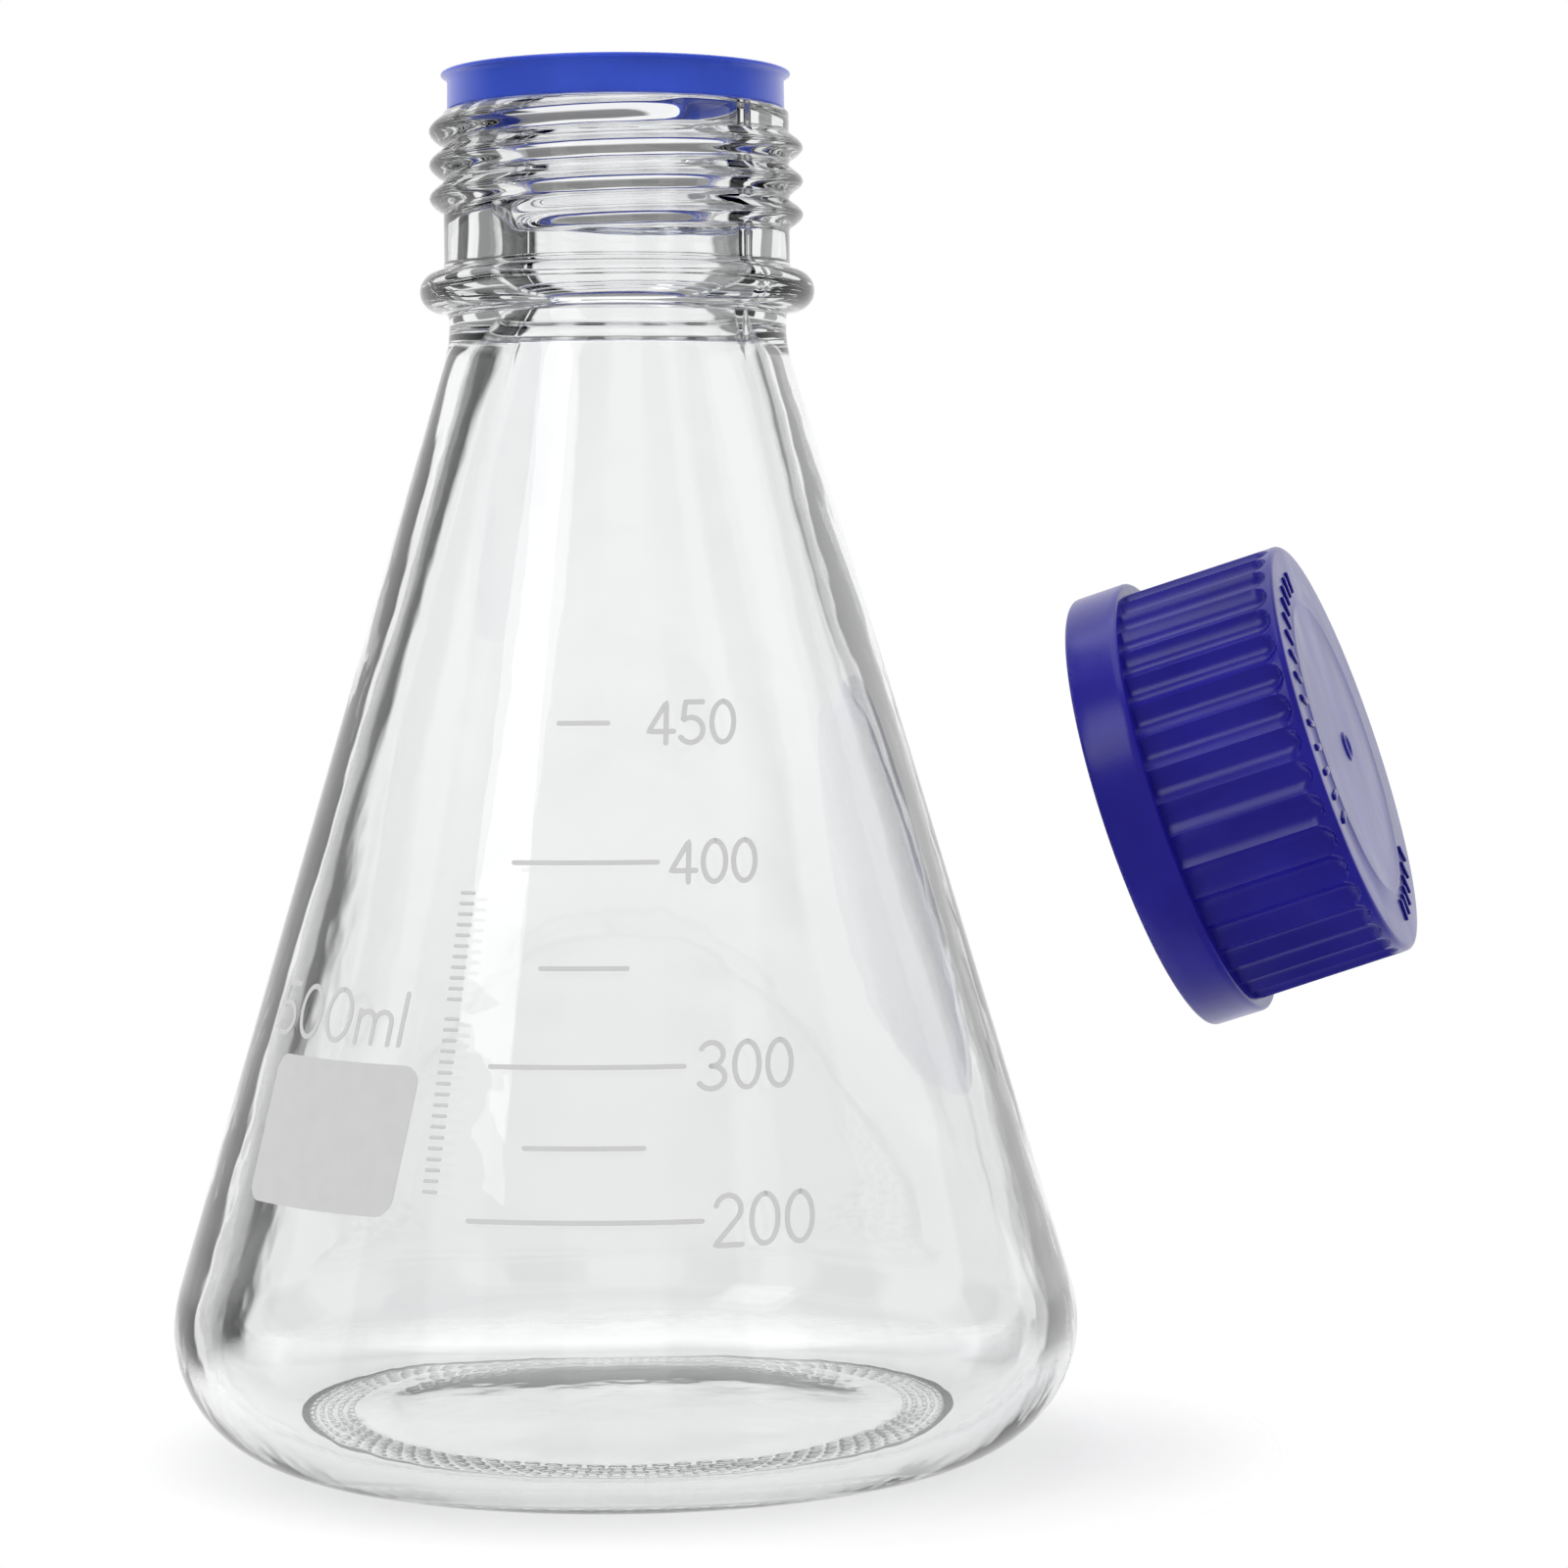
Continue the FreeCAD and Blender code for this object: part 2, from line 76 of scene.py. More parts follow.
class GlassSizes(bpy.types.PropertyGroup):
    """The flask's own glass."""
    wall: bpy.props.FloatProperty(
        name="Wall", description="Thickness of the cone's wall, mm", default=2.7, min=1.0)
    cone_angle: bpy.props.FloatProperty(
        name="Cone angle", description="Half angle of the cone, degrees", default=16.54)
    heel_round: bpy.props.FloatProperty(
        name="Heel", description="Outer radius of the heel, mm", default=15.5)
    shoulder_z: bpy.props.FloatProperty(
        name="Shoulder", description="Height where cone and neck would meet, mm", default=133.0)
    shoulder_round: bpy.props.FloatProperty(
        name="Shoulder radius", description="Radius between cone and neck, mm", default=14.0)
    neck_r: bpy.props.FloatProperty(
        name="Neck", description="Radius of the neck under the bead, mm", default=20.22)
    root_r: bpy.props.FloatProperty(
        name="Thread root", description="Radius of the neck under the thread, mm", default=20.72)
    crest: bpy.props.FloatProperty(
        name="Thread depth", description="Height of the ridge, mm", default=1.66)
    pitch: bpy.props.FloatProperty(
        name="Pitch", description="Rise of the thread in one turn, mm", default=4.0)
    bead_z: bpy.props.FloatProperty(
        name="Bead height", description="Height of the bead's middle, mm", default=139.3)
    bead_round: bpy.props.FloatProperty(
        name="Bead radius", description="Radius of the bead's section, mm", default=2.4)
    bore_r: bpy.props.FloatProperty(
        name="Mouth", description="Radius of the mouth, mm", default=15.2)
    push_up: bpy.props.FloatProperty(
        name="Push-up", description="Rise of the floor's centre, mm", default=1.8)
    floor_t: bpy.props.FloatProperty(
        name="Floor", description="Thickness of the floor, mm", default=3.2)
    waviness: bpy.props.FloatProperty(
        name="Waviness", description="How far the inner wall wanders, mm", default=0.22)
    columns: bpy.props.IntProperty(
        name="Columns", description="Divisions round the glass", default=288, min=32)


class CapSizes(bpy.types.PropertyGroup):
    """The screw cap."""
    tall: bpy.props.FloatProperty(
        name="Height", description="Height of the cap, mm", default=25.5)
    body_r: bpy.props.FloatProperty(
        name="Body", description="Radius over the flutes, mm", default=25.6)
    collar_r: bpy.props.FloatProperty(
        name="Collar", description="Radius of the collar, mm", default=27.0)
    collar_t: bpy.props.FloatProperty(
        name="Collar height", description="Height of the collar, mm", default=6.5)
    bore_r: bpy.props.FloatProperty(
        name="Inside", description="Inner radius between the ridges, mm", default=22.95)
    roof: bpy.props.FloatProperty(
        name="Roof", description="Thickness of the roof, mm", default=1.9)
    flutes: bpy.props.IntProperty(
        name="Flutes", description="Number of flutes", default=40, min=3)
    flute_depth: bpy.props.FloatProperty(
        name="Flute depth", description="Depth of a flute, mm", default=0.95)


class PrintSizes(bpy.types.PropertyGroup):
    """The enamel printed on the glass."""
    stroke: bpy.props.FloatProperty(
        name="Stroke", description="Width of a printed line, mm", default=0.6)
    lift: bpy.props.FloatProperty(
        name="Lift", description="Height of the enamel over the glass, mm", default=0.1)
    scale_angle: bpy.props.FloatProperty(
        name="Scale place", description="Angle of the scale from +X, degrees", default=-96.0)
    numerals: bpy.props.FloatProperty(
        name="Numerals", description="Size of the numerals over their usual size", default=1.0)
    field_angle: bpy.props.FloatProperty(
        name="Field place", description="Angle of the field from +X, degrees", default=-136.4)
    row_angle: bpy.props.FloatProperty(
        name="Row place", description="Angle of the tick row, degrees", default=-116.5)


class FinishColours(bpy.types.PropertyGroup):
    """Colours of the finishes."""
    ring: bpy.props.FloatVectorProperty(
        name="Ring", description="Colour of the pouring ring", subtype="COLOR",
        default=(0.03, 0.075, 0.52), min=0, max=1)
    cap: bpy.props.FloatVectorProperty(
        name="Cap", description="Colour of the cap", subtype="COLOR",
        default=(0.008, 0.005, 0.22), min=0, max=1)
    enamel: bpy.props.FloatVectorProperty(
        name="Enamel", description="Colour of the print", subtype="COLOR",
        default=(0.56, 0.56, 0.56), min=0, max=1)
    glass: bpy.props.FloatVectorProperty(
        name="Glass", description="Tint of the glass", subtype="COLOR",
        default=(0.985, 0.99, 0.99), min=0, max=1)


class StageSizes(bpy.types.PropertyGroup):
    """The camera's place, turn and lens."""
    distance: bpy.props.FloatProperty(
        name="Distance", description="From the camera to the flask's axis", unit="LENGTH",
        default=0.5246)
    eye: bpy.props.FloatProperty(
        name="Eye", description="Height of the camera", unit="LENGTH", default=0.10235)
    yaw: bpy.props.FloatProperty(
        name="Yaw", description="Turn of the camera to the right", unit="ROTATION",
        default=math.radians(2.131))
    pitch: bpy.props.FloatProperty(
        name="Pitch", description="Tilt of the camera downwards", unit="ROTATION",
        default=math.radians(2.435))
    roll: bpy.props.FloatProperty(
        name="Roll", description="Roll of the camera", unit="ROTATION",
        default=math.radians(-0.453))
    lens: bpy.props.FloatProperty(
        name="Lens", description="Focal length", unit="CAMERA", default=99.9)


# Shader and geometry graphs.

class Term:
    """A socket in a graph, so that sums are written as sums."""

    def __init__(self, graph, socket):
        self.graph = graph
        self.socket = socket

    def sum(self, operation, first, second):
        return self.graph.add(
            self.graph.math_node, {"operation": operation}, {0: first, 1: second})

    def __add__(self, other):
        return self.sum("ADD", self, other)

    __radd__ = __add__

    def __sub__(self, other):
        return self.sum("SUBTRACT", self, other)

    def __rsub__(self, other):
        return self.sum("SUBTRACT", other, self)

    def __mul__(self, other):
        return self.sum("MULTIPLY", self, other)

    __rmul__ = __mul__

    def __truediv__(self, other):
        return self.sum("DIVIDE", self, other)

    def __rtruediv__(self, other):
        return self.sum("DIVIDE", other, self)


class Graph:
    """A node tree with one way to add a node."""
    math_node = "ShaderNodeMath"

    def __init__(self, tree):
        self.tree = tree

    def given(self):
        """The tree's own named inputs."""
        node = self.tree.nodes.new("NodeGroupInput")
        return {socket.name: Term(self, socket) for socket in node.outputs if socket.name}

    def add(self, kind, settings=None, values=None, out=0):
        """Add a node, set it up, fill or link its sockets, and hand back one output.
        A tuple of output names hands back all of those."""
        node = self.tree.nodes.new(kind)
        for name, value in (settings or {}).items():
            if name == "stops":
                self.set_stops(node, value)
            else:
                setattr(node, name, value)
        for name, value in (values or {}).items():
            socket = node.inputs[name]
            if isinstance(value, Term):
                self.tree.links.new(value.socket, socket)
            else:
                socket.default_value = value
        if isinstance(out, tuple):
            return tuple(Term(self, node.outputs[name]) for name in out)
        return Term(self, node.outputs[out]) if node.outputs else None

    @staticmethod
    def set_stops(node, stops):
        ramp = node.color_ramp
        while len(ramp.elements) < len(stops):
            ramp.elements.new(0.5)
        for element, (place, colour) in zip(ramp.elements, stops):
            element.position = place
            element.color = (*colour, 1)


def new_material(name):
    material = bpy.data.materials.new(name)
    material.use_nodes = True
    material.node_tree.nodes.clear()
    return material, Graph(material.node_tree)


def noise(graph, place, scale, detail=2.0, stretch=(1, 1, 1)):
    """Noise on the piece's own coordinates, from 0 to 1."""
    mapped = graph.add(
        "ShaderNodeMapping", {}, {"Vector": place, "Scale": stretch})
    return graph.add(
        "ShaderNodeTexNoise", {}, {"Vector": mapped, "Scale": scale, "Detail": detail})


def object_place(graph):
    return graph.add("ShaderNodeTexCoord", {}, {}, out="Object")


def bump(graph, height, strength, distance):
    return graph.add(
        "ShaderNodeBump", {}, {"Height": height, "Strength": strength, "Distance": distance})


def between(graph, value, start, end, low=0.0, high=1.0):
    """A soft step that goes from low at start to high at end."""
    return graph.add("ShaderNodeMapRange", {"interpolation_type": "SMOOTHSTEP"}, {
        "Value": value, "From Min": start, "From Max": end, "To Min": low, "To Max": high})


def on_circle(graph, radius, angle, height):
    """A place on a level circle about Z."""
    x = radius * graph.add(graph.math_node, {"operation": "COSINE"}, {0: angle})
    y = radius * graph.add(graph.math_node, {"operation": "SINE"}, {0: angle})
    return graph.add("ShaderNodeCombineXYZ", {}, {"X": x, "Y": y, "Z": height})


def glass_material(name, tint, dimming):
    """Clear glass: faint ripples and wiping marks, and a grey that builds up with depth."""
    material, graph = new_material(name)
    place = object_place(graph)
    ripple = noise(graph, place, 260, 1.0, (1, 1, 0.6))
    swell = noise(graph, place, 70, 1.0, (1, 1, 0.4))
    wiped = noise(graph, place, 35, 3.0, (1, 1, 0.2))
    shader = graph.add("ShaderNodeBsdfPrincipled", {}, {
        "Base Color": (*tint, 1),
        "Roughness": wiped * 0.03,
        "IOR": 1.5,
        "Transmission Weight": 1.0,
        "Normal": bump(graph, ripple * 0.2 + swell, 0.5, 0.0002),
    })
    depth = graph.add(
        "ShaderNodeVolumeAbsorption", {}, {"Color": (0.5, 0.52, 0.52, 1), "Density": dimming})
    graph.add("ShaderNodeOutputMaterial", {}, {"Surface": shader, "Volume": depth})
    return material


def plastic_material(name, colour, roughness, glow, coat):
    """Moulded plastic: cloudy colour, flow marks and a fine grain."""
    material, graph = new_material(name)
    place = object_place(graph)
    cloud = noise(graph, place, 90, 3.0)
    flow = noise(graph, place, 160, 2.0, (1, 1, 0.25))
    grain = noise(graph, place, 2600, 2.0)
    shade = graph.add("ShaderNodeValToRGB", {"stops": (
        (0.3, tuple(channel * 0.86 for channel in colour)),
        (0.7, tuple(min(1.0, channel * 1.12 + 0.002) for channel in colour)),
    )}, {"Fac": cloud})
    shader = graph.add("ShaderNodeBsdfPrincipled", {}, {
        "Base Color": shade,
        "Roughness": roughness + flow * 0.14,
        "IOR": 1.49,
        "Subsurface Weight": glow,
        "Subsurface Radius": (0.2, 0.35, 1.0),
        "Subsurface Scale": 0.0012,
        "Coat Weight": coat,
        "Coat Roughness": 0.2,
        "Normal": bump(graph, grain + flow * 2, 0.1, 0.00006),
    })
    graph.add("ShaderNodeOutputMaterial", {}, {"Surface": shader})
    return material


def enamel_material(name, colour):
    """Fired enamel: uneven grey with a dry, slightly grainy face."""
    material, graph = new_material(name)
    place = object_place(graph)
    uneven = noise(graph, place, 420, 4.0)
    grain = noise(graph, place, 3500, 2.0)
    shade = graph.add("ShaderNodeValToRGB", {"stops": (
        (0.25, tuple(channel * 0.975 for channel in colour)),
        (0.75, tuple(channel * 1.02 for channel in colour)),
    )}, {"Fac": uneven})
    shader = graph.add("ShaderNodeBsdfPrincipled", {}, {
        "Base Color": shade,
        "Roughness": 0.42 + grain * 0.2,
        "Normal": bump(graph, grain, 0.2, 0.00003),
    })
    graph.add("ShaderNodeOutputMaterial", {}, {"Surface": shader})
    return material


def floor_material():
    """The pale floor, which thins away towards its edge into the white sweep behind."""
    material, graph = new_material("pale_floor")
    place = object_place(graph)
    reach = graph.add("ShaderNodeVectorMath", {"operation": "LENGTH"}, {0: place}, out="Value")
    shader = graph.add("ShaderNodeBsdfPrincipled", {}, {
        "Base Color": (0.92, 0.92, 0.92, 1),
        "Roughness": 0.8,
        "Specular IOR Level": 0.1,
        "Alpha": between(graph, reach, FLOOR_SOLID_R, FLOOR_GONE_R, 1.0, 0.0),
    })
    graph.add("ShaderNodeOutputMaterial", {}, {"Surface": shader})
    return material


# Mesh helpers. Outlines are lists of (radius, height) in millimetres.

def arc(centre, radius, start, end, steps):
    """Points on an arc, in degrees."""
    return [
        (centre[0] + radius * math.cos(math.radians(angle)),
         centre[1] + radius * math.sin(math.radians(angle)))
        for angle in np.linspace(start, end, steps)
    ]


def line(start, end, steps):
    """Points along a line, without its last point."""
    return [
        (start[0] + (end[0] - start[0]) * share, start[1] + (end[1] - start[1]) * share)
        for share in np.linspace(0, 1, steps, endpoint=False)
    ]


def lathe(outline, columns, shift=None):
    """Vertices and faces of an outline turned about Z. shift changes the radii."""
    angles = np.arange(columns) * FULL_TURN / columns
    verts = []
    rings = []
    for row, (radius, height) in enumerate(outline):
        if radius < 1e-6:
            rings.append([len(verts)])
            verts.append((0, 0, height))
            continue
        radii = np.full(columns, float(radius))
        if shift is not None:
            radii = radii + shift(row, radius, height, angles)
        rings.append(list(range(len(verts), len(verts) + columns)))
        verts += list(zip(radii * np.cos(angles), radii * np.sin(angles), [height] * columns))
    faces = []
    closed = outline[0][0] > 1e-6
    pairs = list(zip(rings, rings[1:])) + ([(rings[-1], rings[0])] if closed else [])
    for low, high in pairs:
        for column in range(columns):
            after = (column + 1) % columns
            corners = [low[column % len(low)], low[after % len(low)],
                       high[after % len(high)], high[column % len(high)]]
            faces.append(tuple(dict.fromkeys(corners)))
    return verts, faces


def make_piece(name, verts, faces, material, smooth=True, place=None):
    """A mesh object with its place in its mesh, and its faces outwards."""
    mesh = bpy.data.meshes.new(name)
    mesh.from_pydata([tuple(c * MM for c in vert) for vert in verts], [], faces)
    model = bmesh.new()
    model.from_mesh(mesh)
    bmesh.ops.remove_doubles(model, verts=model.verts, dist=1e-7)
    bmesh.ops.recalc_face_normals(model, faces=model.faces)
    model.to_mesh(mesh)
    model.free()
    if place is not None:
        mesh.transform(place)
    mesh.materials.append(material)
    piece = bpy.data.objects.new(name, mesh)
    bpy.context.scene.collection.objects.link(piece)
    if smooth:
        mesh.shade_smooth()
    return piece


def shade_by_angle(piece, degrees):
    """Smooth faces with sharp edges where they turn by more than an angle."""
    model = bmesh.new()
    model.from_mesh(piece.data)
    for edge in model.edges:
        if len(edge.link_faces) == 2 and edge.calc_face_angle(0) > math.radians(degrees):
            edge.smooth = False
    model.to_mesh(piece.data)
    model.free()


def finish_piece(piece, body, slot, *nodes):
    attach(piece, body)
    if nodes:
        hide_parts(*nodes)


def ease(value):
    """A smooth step from 0 to 1."""
    value = np.clip(value, 0, 1)
    return value * value * (3 - 2 * value)


def helix_ridge(angles, height, low, start, turns, pitch, half, fade):
    """How much of a thread ridge stands at each angle, from 0 to 1."""
    share = ((np.degrees(angles) - start) % 360) / 360
    most = np.zeros_like(angles)
    for extra in range(int(turns) + 2):
        turn = share + extra
        apart = np.abs(height - (low + pitch * turn)) / half
        bump_here = np.where(apart < 1, np.cos(np.clip(apart, 0, 1) * math.pi / 2) ** 1.1, 0)
        ends = ease(turn / fade) * ease((turns - turn) / fade)
        most = np.maximum(most, bump_here * ends)
    return most


# The flask.

def cone_slope():
    return math.tan(math.radians(bpy.context.scene.flask_glass_sizes.cone_angle))


def cone_radius(height):
    """Outer radius of the cone at a height."""
    sizes = bpy.context.scene.flask_glass_sizes
    return sizes.neck_r + (sizes.shoulder_z - height) * cone_slope()


def corner_arc(corner, turn_from, turn_to, radius, steps):
    """An arc that rounds a corner between two directions, given in degrees."""
    half = (turn_to - turn_from) / 2
    reach = radius / math.cos(math.radians(half))
    middle = math.radians((turn_from + turn_to) / 2)
    centre = (corner[0] - reach * math.cos(middle), corner[1] - reach * math.sin(middle))
    return arc(centre, radius, turn_from, turn_to, steps)


def outer_outline(sizes):
    """The glass's outside, from the middle of the base up to the rim."""
    angle = sizes.cone_angle
    dome = [(32.0 * share, sizes.push_up * (1 - share ** 2) + 0.6)
            for share in np.linspace(0, 1, 9)]
    seat = [(33.0, 0.55), (36.0, 0.55), (39.0, 0.55), (40.4, 0.4)]
    heel = corner_arc((cone_radius(0), 0), -90, angle, sizes.heel_round, 26)
    low = heel[-1]
    turn_in = corner_arc(
        (sizes.neck_r, sizes.shoulder_z), 180 + angle, 180, sizes.shoulder_round, 12)
    points = dome + seat + heel[:-1] + line(low, turn_in[0], 40) + turn_in
    bead = (21.25, sizes.bead_z)
    points += [(sizes.neck_r, bead[1] - 3.2), (sizes.neck_r + 0.15, bead[1] - 2.7)]
    points += arc(bead, sizes.bead_round, -88, 88, 18)
    points += [(sizes.root_r + 0.12, bead[1] + 2.8), (sizes.root_r, bead[1] + 3.4)]
    points += line((sizes.root_r, 143.6), (sizes.root_r, 160.3), 60)
    points += arc((sizes.root_r - 0.4, 160.3), 0.4, 0, 90, 4)
    points += line((18.6, 160.75), (18.6, RIM_Z - 0.9), 3)
    points += arc((17.7, RIM_Z - 0.9), 0.9, 0, 90, 6)
    return points


def inner_outline(sizes):
    """The glass's inside, from the rim down to the middle of the floor."""
    angle = sizes.cone_angle
    inset = sizes.wall / math.cos(math.radians(angle))
    slope = cone_slope()
    rim = arc((sizes.bore_r + 1.3, RIM_Z - 1.3), 1.3, 90, 180, 7)
    turn_z = sizes.shoulder_z + (sizes.neck_r - inset - sizes.bore_r) / slope
    turn = corner_arc((sizes.bore_r, turn_z), 180, 180 + angle, 20, 10)
    foot = (cone_radius(sizes.floor_t) - inset, sizes.floor_t)
    heel = corner_arc(foot, angle, -90, sizes.heel_round - sizes.wall, 22)
    floor_rise = sizes.push_up
    floor = [(heel[-1][0] * share, sizes.floor_t + floor_rise * (1 - share ** 2))
             for share in np.linspace(1, 0, 12)[1:]]
    points = rim + line((sizes.bore_r, RIM_Z - 1.8), turn[0], 22) + turn
    points += line(turn[-1], heel[0], 60)[1:] + heel + floor
    return points


def wave(angles, height):
    """The slow wander of a pressed wall round and up the flask."""
    return (np.sin(3 * angles + height * 0.045) * 0.4
            + np.sin(7 * angles - height * 0.07 + 1.3) * 0.25
            + np.sin(2 * angles + height * 0.16 + 0.4) * 0.22
            + np.sin(5 * angles + height * 0.62 + math.sin(height * 0.21) * 2) * 0.06)


def seam(radius, angles):
    """The fine ridge where the mould's halves met, at both sides of the neck."""
    past = (np.degrees(angles) + 44) % 180
    apart = np.minimum(past, 180 - past)
    return 0.16 * np.exp(-(np.radians(apart) * radius / 0.5) ** 2)


class FLASK_OT_glass(bpy.types.Operator):
    """Turn the flask's glass: base, heel, cone, bead, screw neck and rim"""
    bl_idname = "flask.glass"
    bl_label = "Flask Glass"

    def execute(self, context):
        sizes = context.scene.flask_glass_sizes
        outside = outer_outline(sizes)
        inside = inner_outline(sizes)
        last_outer = len(outside) - 1

        def shift(row, radius, height, angles):
            if row > last_outer:
                strength = ease((height - 6) / 12) * ease((RIM_Z - 4 - height) / 12)
                return wave(angles, height) * sizes.waviness * strength
            if height > 143 and radius > sizes.root_r - 0.1:
                ridge = helix_ridge(
                    angles, height, low=146.97, start=231, turns=3.18, pitch=sizes.pitch,
                    half=1.75, fade=0.07)
                return ridge * sizes.crest + seam(radius, angles) * (1 - ridge)
            strength = ease((height - 22) / 14) * ease((130 - height) / 12)
            wander = wave(angles + 1.1, height * 0.8) * 0.02 * strength
            return wander + seam(radius, angles) * ease((height - 128) / 6)

        verts, faces = lathe(outside + inside, sizes.columns, shift)
        glass = glass_material("glass_finish", context.scene.flask_colours.glass, dimming=8.0)
        piece = make_piece("flask_wall", verts, faces, glass)
        # Clear glass lets the lamps' light through to the floor.
        piece.visible_shadow = False
        finish_piece(piece, "flask", "clear_glass", "flask_glass")
        return {"FINISHED"}


# Geometry nodes for what repeats.

def tree_with(name, inputs):
    """A geometry tree with a mesh input, named number inputs and a mesh output."""
    tree = bpy.data.node_groups.new(name, "GeometryNodeTree")
    tree.interface.new_socket("Geometry", in_out="INPUT", socket_type="NodeSocketGeometry")
    identifiers = {}
    for label, kind, value in inputs:
        socket = tree.interface.new_socket(label, in_out="INPUT", socket_type=kind)
        if value is not None:
            socket.default_value = value
        identifiers[label] = socket.identifier
    tree.interface.new_socket("Geometry", in_out="OUTPUT", socket_type="NodeSocketGeometry")
    return tree, identifiers


def grown(name, tree, identifiers, values, place=None):
    """Run a geometry tree on an empty mesh and keep the result as a plain mesh."""
    mesh = bpy.data.meshes.new(name + "_seed")
    carrier = bpy.data.objects.new(name, mesh)
    bpy.context.scene.collection.objects.link(carrier)
    modifier = carrier.modifiers.new("grow", "NODES")
    modifier.node_group = tree
    for label, value in values.items():
        modifier[identifiers[label]] = value
    depsgraph = bpy.context.evaluated_depsgraph_get()
    result = bpy.data.meshes.new_from_object(carrier.evaluated_get(depsgraph))
    result.name = name
    carrier.modifiers.remove(modifier)
    carrier.data = result
    if place is not None:
        result.transform(place)
    bpy.data.meshes.remove(mesh)
    if not result.polygons:
        raise RuntimeError(f"{name} grew no faces")
    return carrier


def close_tree(graph, geometry, material):
    """End a tree in Realize Instances and Set Material."""
    real = graph.add("GeometryNodeRealizeInstances", {}, {"Geometry": geometry})
    done = graph.add(
        "GeometryNodeSetMaterial", {}, {"Geometry": real, "Material": material})
    graph.add("NodeGroupOutput", {}, {"Geometry": done})


def seed_object(name, verts, faces):
    """A shape that a tree repeats. It is taken away afterwards."""
    mesh = bpy.data.meshes.new(name)
    mesh.from_pydata([tuple(c * MM for c in vert) for vert in verts], [], faces)
    mesh.shade_smooth()
    seed = bpy.data.objects.new(name, mesh)
    bpy.context.scene.collection.objects.link(seed)
    return seed


def drop(seed):
    mesh = seed.data
    bpy.data.objects.remove(seed)
    bpy.data.meshes.remove(mesh)


def stud(length, width, tall, columns=12):
    """A low oval dome, domed side down, with a flat closed back."""
    verts = [(0, 0, -tall)]
    for share in (0.5, 0.85, 1.0):
        drop_here = tall * math.sqrt(max(0.0, 1 - share ** 2))
        for column in range(columns):
            angle = FULL_TURN * column / columns
            verts.append((share * length / 2 * math.cos(angle),
                          share * width / 2 * math.sin(angle), -drop_here))
    faces = [(0, 1 + (column + 1) % columns, 1 + column) for column in range(columns)]
    for ring in range(2):
        first = 1 + ring * columns
        for column in range(columns):
            after = (column + 1) % columns
            faces.append((first + column, first + after,
                          first + columns + after, first + columns + column))
    faces.append(tuple(1 + 2 * columns + column for column in range(columns)))
    return verts, faces


def stipple_tree(material, seed):
    """Rings of studs: each ring is a circle of points with a stud on every point."""
    tree, identifiers = tree_with("base_stipple_rings", (
        ("Rings", "NodeSocketInt", 5),
        ("Studs", "NodeSocketInt", 86),
        ("First radius", "NodeSocketFloat", 0.0338),
        ("Ring step", "NodeSocketFloat", 0.0012),
        ("Height", "NodeSocketFloat", 0.0006),
        ("Seed", "NodeSocketInt", 7),
    ))
    graph = Graph(tree)
    given = graph.given()
    count = given["Rings"] * given["Studs"]
    points = graph.add(
        "GeometryNodeMeshLine", {}, {"Count": count, "Offset": (0, 0, 0)})
    index = graph.add("GeometryNodeInputIndex")
    ring = graph.add(graph.math_node, {"operation": "FLOOR"}, {0: index / given["Studs"]})
    offbeat = graph.add(graph.math_node, {"operation": "MODULO"}, {0: ring, 1: 2.0}) * 0.5
    angle = (index + offbeat) / given["Studs"] * FULL_TURN
    radius = given["First radius"] + ring * given["Ring step"]
    where = on_circle(graph, radius, angle, given["Height"])
    spread = graph.add("GeometryNodeSetPosition", {}, {"Geometry": points, "Position": where})
    turn = graph.add("ShaderNodeCombineXYZ", {}, {"Z": angle + math.pi / 2})
    uneven = graph.add("FunctionNodeRandomValue", {"data_type": "FLOAT"}, {
        "Min": 0.88, "Max": 1.1, "Seed": given["Seed"]}, out=1)
    shape = graph.add("GeometryNodeObjectInfo", {}, {"Object": seed}, out="Geometry")
    studs = graph.add("GeometryNodeInstanceOnPoints", {}, {
        "Points": spread, "Instance": shape, "Rotation": turn, "Scale": uneven})
    close_tree(graph, studs, material)
    return tree, identifiers


class FLASK_OT_stipple(bpy.types.Operator):
    """Set the rings of small studs under the base that keep the flask from slipping"""
    bl_idname = "flask.stipple"
    bl_label = "Base Stipple"

    def execute(self, context):
        seed = seed_object("stud_seed", *stud(length=2.1, width=0.8, tall=0.52))
        material = bpy.data.materials["glass_finish"]
        tree, identifiers = stipple_tree(material, seed)
        piece = grown("base_stipple", tree, identifiers, {"Studs": 86})
        drop(seed)
        piece.visible_shadow = False
        finish_piece(piece, "flask", "clear_glass")
        return {"FINISHED"}


# The pouring ring.

